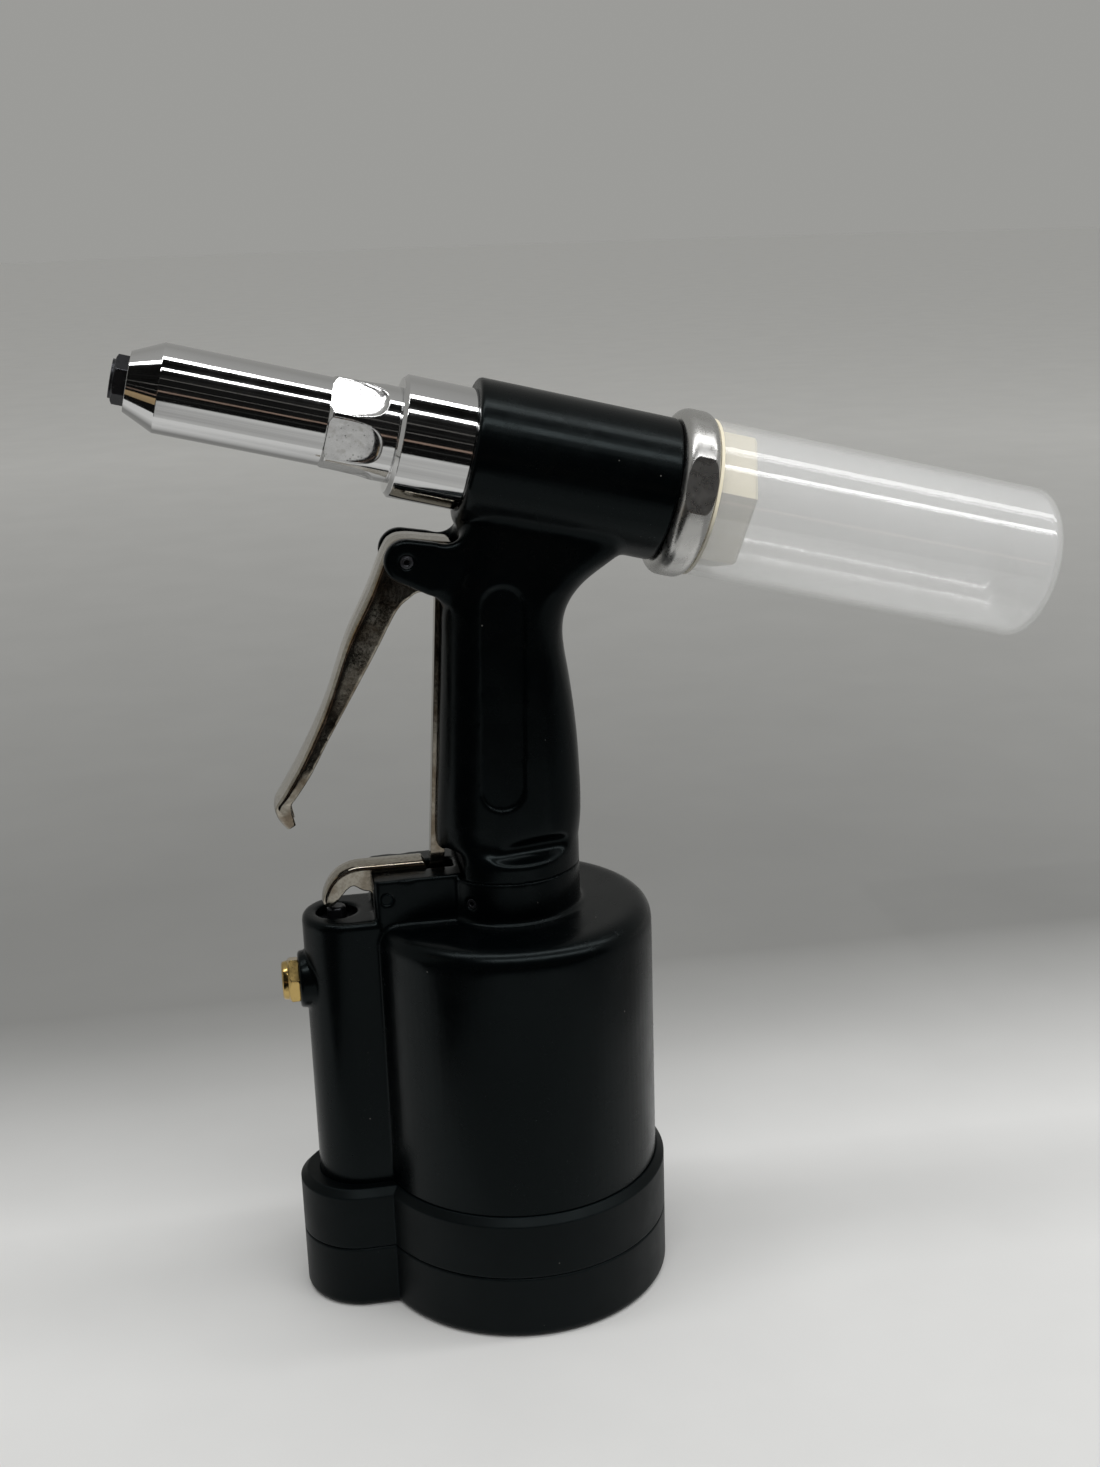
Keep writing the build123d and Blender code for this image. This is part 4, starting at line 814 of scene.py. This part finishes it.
def turned(name, outline, steps=144):
    """A turned piece: places along its axis and radii, drawn point by point and spun round Z."""
    deselect()
    bpy.ops.mesh.primitive_plane_add(size=MM)
    piece = bpy.context.object
    piece.name = name
    edit()
    bpy.ops.mesh.merge(type="CENTER")
    points = [Vector((radius, 0.0, along)) for along, radius in outline]
    bpy.ops.transform.translate(value=points[0])
    for before, after in zip(points, points[1:]):
        bpy.ops.mesh.extrude_region_move(TRANSFORM_OT_translate={"value": after - before})
    bpy.ops.mesh.select_all(action="SELECT")
    bpy.ops.mesh.spin(steps=steps, angle=2 * pi, center=(0.0, 0.0, 0.0), axis=(0.0, 0.0, 1.0))
    bpy.ops.mesh.select_all(action="SELECT")
    bpy.ops.mesh.remove_doubles(threshold=TURNED_MERGE * MM)
    bpy.ops.mesh.normals_make_consistent(inside=False)
    bpy.ops.object.mode_set(mode="OBJECT")
    return piece


def flow(rows, steps):
    """Rows of numbers with smooth steps between them, on curves through all the rows."""
    padded = [rows[0], *rows, rows[-1]]
    smoothed = []
    for before, start, end, after in zip(padded, padded[1:], padded[2:], padded[3:]):
        for step in range(steps):
            part = step / steps
            smoothed.append([
                b + 0.5 * part * (c - a + part * (2 * a - 5 * b + 4 * c - d + part * (3 * (b - c) + d - a)))
                for a, b, c, d in zip(before, start, end, after)
            ])
    return [*smoothed, rows[-1]]


def pressed(name, stations, sheet, steps=6):
    """A pressed channel of a sheet's thickness, from its stations."""
    rows = []
    for face_x, face_z, rim_x, rim_z, half, bend in flow(stations, steps):
        face = Vector((face_x, 0.0, face_z))
        inward = Vector((rim_x, 0.0, rim_z)) - face
        depth = inward.length
        inward.normalize()
        round_off = min(bend, BEND_OF_DEPTH * depth, BEND_OF_WIDTH * half)
        side = [(half, depth), (half, (2 * depth + round_off) / 3), (half, (depth + 2 * round_off) / 3)]
        for turn in range(0, 90 + BEND_STEP, BEND_STEP):
            side.append((
                half - round_off * (1 - cos(radians(turn))),
                round_off * (1 - sin(radians(turn))),
            ))
        section = [(-y, deep) for y, deep in side] + [(0.0, -CROWN)] + list(reversed(side))
        rows.append([(face + inward * deep + Vector((0.0, y, 0.0))) * MM for y, deep in section])
    deselect()
    columns = len(rows[0]) - 1
    bpy.ops.mesh.primitive_grid_add(x_subdivisions=columns, y_subdivisions=len(rows) - 1, size=MM)
    piece = bpy.context.object
    piece.name = name
    for point, place in zip(piece.data.vertices, [place for row in rows for place in row], strict=True):
        point.co = place
    edit()
    bpy.ops.mesh.normals_make_consistent(inside=False)
    bpy.ops.object.mode_set(mode="OBJECT")
    modify(piece, "SOLIDIFY", thickness=sheet * MM, offset=-1.0)
    return piece


def drill(piece, place, radius):
    """Drills a hole across the tool, at a place in its middle plane."""
    deselect()
    bpy.ops.mesh.primitive_cylinder_add(
        vertices=48, radius=radius * MM, depth=DRILL_LENGTH * MM, rotation=QUARTER_TURN,
        location=in_metres(place[0], 0.0, place[1]),
    )
    drill_bit = bpy.context.object
    settle(drill_bit)
    cut(piece, drill_bit)


def thin(piece, most):
    """Leaves out points where a piece's skin is flat, until it has no more triangles than it may."""
    triangles = 2 * len(piece.data.polygons)
    modify(piece, "DECIMATE", ratio=min(1.0, most / triangles))


def copy_of(packed, name):
    """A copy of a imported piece, with its points merged."""
    pick(frame["nodes"][packed])
    bpy.ops.object.duplicate()
    piece = bpy.context.object
    piece.name = name
    piece.parent = None
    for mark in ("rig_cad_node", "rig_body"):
        del piece[mark]
    bpy.ops.mesh.customdata_custom_splitnormals_clear()
    edit()
    bpy.ops.mesh.remove_doubles(threshold=PACKED_MERGE * MM)
    bpy.ops.object.mode_set(mode="OBJECT")
    return piece


def flat_block(out, low, high, width):
    """A block that cuts a flat at a distance out from an upright axis, on its near side."""
    deselect()
    bpy.ops.mesh.primitive_cube_add(size=1)
    block = bpy.context.object
    depth = width / 2
    block.scale = (width, depth, high - low)
    block.location = (0.0, -out - depth / 2, (low + high) / 2)
    settle(block)
    return block


def round_six(block, turn):
    """Six copies of a block, evenly round an upright axis, as one cutter."""
    blocks = [block]
    while len(blocks) < FLATS:
        pick(block)
        bpy.ops.object.duplicate()
        blocks.append(bpy.context.object)
    for number, copy in enumerate(blocks):
        copy.rotation_euler = (0.0, 0.0, 2 * pi / FLATS * number - turn)
    deselect()
    for copy in blocks:
        copy.select_set(True)
    bpy.context.view_layer.objects.active = block
    bpy.ops.object.join()
    settle(block)
    return block


def onto_barrel(piece):
    """Lays a piece that was made upright along the barrel's axis."""
    piece.rotation_euler = BARREL_TURN
    piece.location = (0.0, 0.0, BARREL_HEIGHT)
    settle(piece)


def hand_over(piece, slot, body, *nodes):
    """Gives a piece its finish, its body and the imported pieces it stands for."""
    piece.data.materials.clear()
    piece.data.materials.append(finish_for(slot))
    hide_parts(*nodes)
    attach(piece, body)


class RIVETER_OT_packed_pieces(bpy.types.Operator):
    """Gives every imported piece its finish"""

    bl_idname = "riveter.packed_pieces"
    bl_label = "Finish packed pieces"

    def execute(self, context):
        for name, piece in frame["nodes"].items():
            held = piece.material_slots[0]
            held.material = finish_for(OTHER_FINISHES.get(name, held.material.name.split(".")[0]))
        return {"FINISHED"}


class RIVETER_OT_castings(bpy.types.Operator):
    """Runs the castings' corners smooth, as moulding and paint leave them"""

    bl_idname = "riveter.castings"
    bl_label = "Cast frame and cylinder"

    def execute(self, context):
        sizes = context.scene.riveter_sizes
        body = self.cast("cast_frame", "main_frame", sizes.frame_grain, sizes.passes, self.scoops())
        self.soften(body, self.junction, sizes.fillet_passes)
        thin(body, sizes.skin)
        hand_over(body, "black_paint", "frame", "main_frame")
        ears = [self.ear_block()]
        cylinder = self.cast("cast_cylinder", "cylinder_body", sizes.cylinder_grain, sizes.passes, ears)
        self.soften(cylinder, self.shoulder, sizes.shoulder_passes)
        thin(cylinder, sizes.skin)
        hand_over(cylinder, "black_paint", "frame", "cylinder_body")
        return {"FINISHED"}

    def cast(self, name, packed, grain, passes, cutters):
        """A packed casting with some shapes cut out and its skin run smooth."""
        piece = copy_of(packed, name)
        for cutter in cutters:
            cut(piece, cutter)
        reskin(piece, grain)
        run_smooth(piece, passes)
        return piece

    def scoops(self):
        """Two egg-shaped cutters for the finger scoops at the handle's foot."""
        made = []
        along, out, height = SCOOP_PLACE
        for side in (-1, 1):
            deselect()
            bpy.ops.mesh.primitive_uv_sphere_add(segments=64, ring_count=32, radius=MM)
            scoop = bpy.context.object
            scoop.scale = SCOOP_HALVES
            scoop.rotation_euler = (0.0, SCOOP_LEAN, -side * SCOOP_SWING)
            scoop.location = in_metres(along, side * out, height)
            settle(scoop)
            made.append(scoop)
        return made

    def ear_block(self):
        """A block over the lever's ears, which leaves them lower at the front and on the far side."""
        deselect()
        bpy.ops.mesh.primitive_cube_add(
            size=EAR_BLOCK * MM, location=in_metres(*EAR_BLOCK_PLACE), rotation=EAR_BLOCK_TURN,
        )
        block = bpy.context.object
        settle(block)
        return block

    def shoulder(self, place):
        """How much a place belongs to the cylinder's upper rim, in millimetres."""
        above = (place.z - SHOULDER_FOOT) / SHOULDER_FADE
        outside = (Vector((place.x, place.y)).length - SHOULDER_RING) / SHOULDER_FADE
        behind = (place.x - SHOULDER_FRONT) / SHOULDER_FRONT_FADE
        return max(0.0, min(1.0, above, outside, behind))

    def junction(self, place):
        """How much a place belongs to the soft junctions of barrel, handle and ears, in millimetres."""
        from_axis = place - Vector((0.0, 0.0, BARREL_HEIGHT / MM))
        side = abs(place.y)
        along = self.within(from_axis.dot(BARREL_AXIS), UNDER_ALONG)
        above = self.within(from_axis.dot(BARREL_UP), UNDER_ABOVE)
        under = min(along, above) * min(1.0, UNDER_MIDDLE + side / UNDER_SIDE)
        chin = CHIN_REACH - (Vector((place.x, side, place.z)) - Vector(CHIN_PLACE)).length
        scoop = min(self.within(place.z, SCOOP_BAND), side - SCOOP_INNER, 1.0)
        front = max(0.0, min(1.0, (SCOOP_FRONT - place.x) / SCOOP_FRONT_FADE))
        scoop *= SCOOP_SHARE + SCOOP_FRONT_SHARE * front
        return max(0.0, min(1.0, max(under, chin) / JUNCTION_FADE), scoop)

    def within(self, value, ends):
        """How far a value is from the nearer of two ends, less than nothing outside them."""
        return min(value - ends[0], ends[1] - value)

    def soften(self, piece, share_of, passes):
        """Runs part of a piece's skin smooth."""
        group = piece.vertex_groups.new(name="soft")
        for point in piece.data.vertices:
            group.add([point.index], share_of(point.co / MM), "REPLACE")
        run_smooth(piece, passes, group.name)
        piece.vertex_groups.clear()


class RIVETER_OT_head(bpy.types.Operator):
    """Turns the chromed head and mills its spanner flats"""

    bl_idname = "riveter.head"
    bl_label = "Turn the head"

    def execute(self, context):
        sizes = context.scene.riveter_sizes
        outline = (
            (sizes.head_rear, sizes.bore_radius), (sizes.head_rear, sizes.spigot_radius),
            (sizes.collar_front, sizes.spigot_radius), (sizes.collar_front, sizes.neck_radius),
            (sizes.neck_front, sizes.neck_radius), (sizes.tube_rear, sizes.tube_radius),
            (sizes.tube_front, sizes.tube_radius), (sizes.head_front, sizes.front_radius),
            (sizes.head_front, sizes.thread_radius), (sizes.bore_front, sizes.thread_radius),
            (sizes.bore_front, sizes.bore_radius), (sizes.head_rear, sizes.bore_radius),
        )
        head = turned("chrome_head", outline)
        cut(head, self.flat_cutters(sizes))
        smooth(head, turn=12.0)
        onto_barrel(head)
        hand_over(head, "chrome", "frame", "frame_head")
        return {"FINISHED"}

    def flat_cutters(self, sizes):
        """Six rounded blocks that leave the flats, with a sweep at their rear ends."""
        rear = sizes.tube_rear - sizes.flat_length
        near = sizes.flat_length / 4
        hair = near / 10
        block = flat_block(sizes.flat, rear, sizes.tube_rear, sizes.flat_width)

        def rear_corner(a, b):
            """Whether an edge is one of the two across the block's rear end, out from the flat."""
            at_rear = max(a.z, b.z) < rear + near
            return at_rear and abs(a.x - b.x) < near and abs(a.y - b.y) > near

        def flat_rim(a, b):
            """Whether an edge bounds the flat, apart from its front end and the block's straight sides."""
            on_flat = min(a.y, b.y) > -sizes.flat - hair
            behind_front = min(a.z, b.z) < sizes.tube_rear - hair
            return on_flat and behind_front and not abs(a.x) == abs(b.x) == sizes.flat_width / 2

        self.round_off(block, rear_corner, sizes.flat_sweep)
        self.round_off(block, flat_rim, sizes.flat_run)
        return round_six(block, sizes.flat_turn)

    def round_off(self, block, chosen, radius):
        """Rounds the edges of a block that a test picks by their two ends."""
        edit()
        bpy.ops.mesh.select_all(action="DESELECT")
        bpy.ops.mesh.select_mode(type="EDGE")
        bpy.ops.object.mode_set(mode="OBJECT")
        corners = block.data.vertices
        for edge in block.data.edges:
            ends = [corners[end].co for end in edge.vertices]
            edge.select = chosen(*ends)
        bpy.ops.object.mode_set(mode="EDIT")
        bpy.ops.mesh.bevel(offset=radius, offset_type="OFFSET", segments=8, affect="EDGES")
        bpy.ops.object.mode_set(mode="OBJECT")


class RIVETER_OT_linkage(bpy.types.Operator):
    """Presses the trigger and the valve lever from sheet"""

    bl_idname = "riveter.linkage"
    bl_label = "Press trigger and lever"

    def execute(self, context):
        trigger = self.channel(
            "pressed_trigger", TRIGGER_STATIONS, ((TRIGGER_PIN, TRIGGER_BORE), (ROD_TOP, ROD_BORE))
        )
        hand_over(trigger, "nickel", "trigger", "trigger")
        lever = self.channel(
            "pressed_lever", LEVER_STATIONS, ((LEVER_PIN, LEVER_BORE), (ROD_FOOT, ROD_BORE))
        )
        hand_over(lever, "nickel", "valve_lever", "valve_lever")
        outline = [(-along, radius) for along, radius in reversed(PIN_END)] + list(PIN_END)
        pin = turned("hollow_pin", [in_metres(*row) for row in outline], steps=48)
        smooth(pin)
        pin.rotation_euler = QUARTER_TURN
        pin.location = in_metres(TRIGGER_PIN[0], 0.0, TRIGGER_PIN[1])
        settle(pin)
        hand_over(pin, "dark_steel", "frame", "trigger_pin")
        return {"FINISHED"}

    def channel(self, name, stations, holes):
        """A pressed channel with holes drilled across it, and its rims rounded, as tumbling leaves them."""
        piece = pressed(name, stations, SHEET)
        for place, radius in holes:
            drill(piece, place, radius)
        reskin(piece, TUMBLE_GRAIN * MM)
        run_smooth(piece, TUMBLE_PASSES)
        thin(piece, TUMBLE_SKIN)
        return piece


class RIVETER_OT_inlet(bpy.types.Operator):
    """Turns the outer end of the brass inlet round"""

    bl_idname = "riveter.inlet"
    bl_label = "Turn the inlet"

    def execute(self, context):
        inlet = turned("turned_inlet", [in_metres(*row) for row in INLET_OUTLINE], steps=96)
        out, low, high, width = in_metres(INLET_FLAT, *INLET_FLAT_ENDS, INLET_FLAT_WIDTH)
        cut(inlet, round_six(flat_block(out, low, high, width), INLET_TURN))
        smooth(inlet, turn=14.0)
        inlet.rotation_euler = (0.0, -pi / 2, 0.0)
        inlet.location = (0.0, 0.0, INLET_HEIGHT * MM)
        settle(inlet)
        hand_over(inlet, "brass", "frame", "air_inlet")
        return {"FINISHED"}


class RIVETER_OT_adapter(bpy.types.Operator):
    """Turns the cream hexagon inside the bottle to its place"""

    bl_idname = "riveter.adapter"
    bl_label = "Turn the adapter"

    def execute(self, context):
        adapter = copy_of("bottle_adapter", "cream_adapter")
        swing = Matrix.Rotation(ADAPTER_TURN, 4, BARREL_AXIS)
        to_axis = Matrix.Translation(-BARREL_CENTRE)
        adapter.matrix_world = Matrix.Translation(BARREL_CENTRE) @ swing @ to_axis
        settle(adapter)
        smooth(adapter, turn=25.0)
        hand_over(adapter, "cream_plastic", "frame", "bottle_adapter")
        return {"FINISHED"}


class RIVETER_OT_springs(bpy.types.Operator):
    """Winds the springs and cuts the mandrel guide to length"""

    bl_idname = "riveter.springs"
    bl_label = "Wind springs"

    def execute(self, context):
        for name, (body, joint, start, end, radius, wire, turns, travel) in SPRINGS.items():
            spring = self.coil(name + "_coil", start * MM, end * MM, radius * MM, wire * MM, turns)
            if name == "valve_spring":
                spring.location.x = VALVE_SIDE * MM
                settle(spring)
            else:
                onto_barrel(spring)
            hand_over(spring, "steel", body, name)
            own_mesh(spring)
        guide = copy_of("mandrel_guide", "mandrel_tube")
        deselect()
        bpy.ops.mesh.primitive_cylinder_add(
            vertices=48, radius=GUIDE_CUT_RADIUS * MM, depth=GUIDE_CUT * MM,
            location=in_metres(0.0, 0.0, GUIDE_END - GUIDE_CUT / 2),
        )
        end_cut = bpy.context.object
        settle(end_cut)
        onto_barrel(end_cut)
        cut(guide, end_cut)
        smooth(guide)
        hand_over(guide, "steel", "pull_piston", "mandrel_guide")
        return {"FINISHED"}

    def coil(self, name, start, end, radius, wire, turns):
        """A coil spring between two places on an upright axis."""
        deselect()
        half = wire / 2
        bpy.ops.mesh.primitive_circle_add(
            vertices=16, radius=half, location=(radius - half, 0.0, start + half), rotation=QUARTER_TURN
        )
        spring = bpy.context.object
        spring.name = name
        settle(spring)
        pitch = (end - start - wire) / turns
        modify(spring, "SCREW", angle=2 * pi, screw_offset=pitch, iterations=turns, steps=40, render_steps=40)
        edit()
        bpy.ops.mesh.fill_holes(sides=0)
        bpy.ops.mesh.normals_make_consistent(inside=False)
        bpy.ops.object.mode_set(mode="OBJECT")
        smooth(spring, turn=40.0)
        return spring


def gloss_card(name, size, place, turn, tone, streak):
    """A flat card of the stage, seen only in polished surfaces, where it paints a reflection."""
    deselect()
    bpy.ops.mesh.primitive_plane_add(size=1, location=place, rotation=turn)
    card = bpy.context.object
    card.name = name
    card.scale = (*size, 1.0)
    settle(card)
    made, tree, shader = finish(name, Roughness=1.0, Specular_IOR_Level=0.0)
    wide = uneven(tree, 160.0, 0.0, 1.0, place_of(tree, (0.25, 1.0, 1.0)))
    lines = patches(tree, 60.0, 0.55, 1.0, place_of(tree, (0.05, 1.0, 1.0)))
    plain = blend(tree, wide, toned(tone, 0.7), toned(tone, 1.3))
    join(tree, shader, Base_Color=blend(tree, lines, plain, toned(tone, streak)))
    card.data.materials.append(made)
    for kind in ("camera", "diffuse", "transmission", "shadow", "volume_scatter"):
        setattr(card, f"visible_{kind}", False)


class RIVETER_OT_stage(bpy.types.Operator):
    """Sets the floor, the lights, the surroundings and the camera"""

    bl_idname = "riveter.stage"
    bl_label = "Set the stage"

    def execute(self, context):
        stage = context.scene.riveter_stage
        self.lay_floor(stage)
        self.light(stage)
        self.surround(context.scene, stage)
        self.place_camera(context.scene, stage)
        context.scene.view_settings.view_transform = "Standard"
        return {"FINISHED"}

    def lay_floor(self, stage):
        """A wide pale floor with a band of painted shade behind the riveter."""
        deselect()
        bpy.ops.mesh.primitive_circle_add(vertices=96, radius=FLOOR_RADIUS, fill_type="NGON")
        floor = bpy.context.object
        floor.name = "floor"
        made, tree, shader = finish("pale floor", Roughness=0.65, Specular_IOR_Level=0.2)
        where = node(tree, "ShaderNodeTexCoord").outputs["Object"]
        # The floor is painted darker behind the riveter: painted shade
        band = spread(tree, part_of(tree, where, "Y"), *FLOOR_BAND, 0.0, 1.0)
        far = spread(tree, reach(tree, where), *FLOOR_FAR, 0.0, 1.0)
        base = blend(tree, far, blend(tree, band, stage.floor_near, stage.floor_painted_shade), stage.floor_far)
        inputs = {0: base, "Scale": uneven(tree, 70.0, 0.98, 1.02)}
        mottled = node(tree, "ShaderNodeVectorMath", inputs, operation="SCALE").outputs[0]
        grain = relief(tree, cloud(tree, 1.2), 0.02, plain_surface(tree))
        join(tree, shader, Base_Color=mottled, Normal=grain)
        floor.data.materials.append(made)

    def light(self, stage):
        """Two long strip lights over the riveter."""
        for name, (place, long, width) in STRIPS.items():
            deselect()
            bpy.ops.object.light_add(type="AREA", location=place)
            strip = bpy.context.object
            strip.name = name
            strip.data.shape = "RECTANGLE"
            strip.data.size = long
            strip.data.size_y = width
            strip.data.energy = stage.strip_power
            aim = STRIP_AIM - Vector((0.0, *place[1:]))
            strip.rotation_euler = aim.to_track_quat("-Z", "Y").to_euler()

    def surround(self, scene, stage):
        """Pale surroundings, which light softly and show darker, and the cards."""
        world = bpy.data.worlds.new("surroundings")
        scene.world = world
        world.use_nodes = True
        tree = world.node_tree
        rays = node(tree, "ShaderNodeLightPath").outputs
        seen = maths(tree, "MAXIMUM", rays["Is Camera Ray"], rays["Is Glossy Ray"])
        seen = maths(tree, "MAXIMUM", seen, rays["Is Transmission Ray"])
        way = node(tree, "ShaderNodeTexCoord").outputs["Generated"]
        high = spread(tree, part_of(tree, way, "Z"), *OVERHEAD_RISE, 0.0, 1.0)
        shown = blend(tree, high, stage.wall, stage.overhead)
        tree.links.new(blend(tree, seen, stage.glow, shown), tree.nodes["Background"].inputs["Color"])
        for card in CARDS:
            gloss_card(*card)

    def place_camera(self, scene, stage):
        """A camera at the photograph's viewing angle."""
        turn = stage.azimuth
        rise = stage.elevation
        back = Vector((sin(turn) * cos(rise), -cos(turn) * cos(rise), sin(rise)))
        right = Vector((cos(turn), sin(turn), 0.0))
        up = back.cross(right)
        level = right * cos(stage.roll) + up * sin(stage.roll)
        head = up * cos(stage.roll) - right * sin(stage.roll)
        deselect()
        bpy.ops.object.camera_add()
        camera = bpy.context.object
        camera.data.lens = stage.lens
        camera.data.clip_start = CLIP_START
        camera.matrix_world = Matrix((level, head, back)).transposed().to_4x4()
        aim = right * stage.aim_side + Vector((0.0, 0.0, stage.aim_height))
        camera.location = aim + back * stage.distance
        scene.camera = camera


class RIVETER_PT_panel(bpy.types.Panel):
    """Lists the riveter's pieces and settings"""

    bl_label = "Riveter"
    bl_space_type = "VIEW_3D"
    bl_region_type = "UI"
    bl_category = "Riveter"

    def draw(self, context):
        for operator in OPERATORS:
            self.layout.operator(operator.bl_idname)
        for name, group in SETTINGS.items():
            for setting in group.__annotations__:
                self.layout.prop(getattr(context.scene, name), setting)


OPERATORS = (
    RIVETER_OT_packed_pieces, RIVETER_OT_castings, RIVETER_OT_head, RIVETER_OT_linkage,
    RIVETER_OT_springs, RIVETER_OT_inlet, RIVETER_OT_adapter, RIVETER_OT_stage,
)
SETTINGS = {"riveter_finishes": RiveterFinishes, "riveter_sizes": RiveterSizes, "riveter_stage": RiveterStage}


def register():
    """Makes the operators, the panel and the settings known to Blender."""
    for kind in (*SETTINGS.values(), *OPERATORS, RIVETER_PT_panel):
        bpy.utils.register_class(kind)
    for name, group in SETTINGS.items():
        setattr(bpy.types.Scene, name, bpy.props.PointerProperty(type=group))


def unregister():
    """Takes the settings, the panel and the operators away again."""
    for name in SETTINGS:
        delattr(bpy.types.Scene, name)
    for kind in (RIVETER_PT_panel, *reversed(OPERATORS), *SETTINGS.values()):
        bpy.utils.unregister_class(kind)


def main():
    """Builds the riveter on its stage."""
    register()
    bpy.ops.riveter.packed_pieces()
    bpy.ops.riveter.castings()
    bpy.ops.riveter.head()
    bpy.ops.riveter.linkage()
    bpy.ops.riveter.springs()
    bpy.ops.riveter.inlet()
    bpy.ops.riveter.adapter()
    bpy.ops.riveter.stage()


if __name__ == "__main__":
    main()
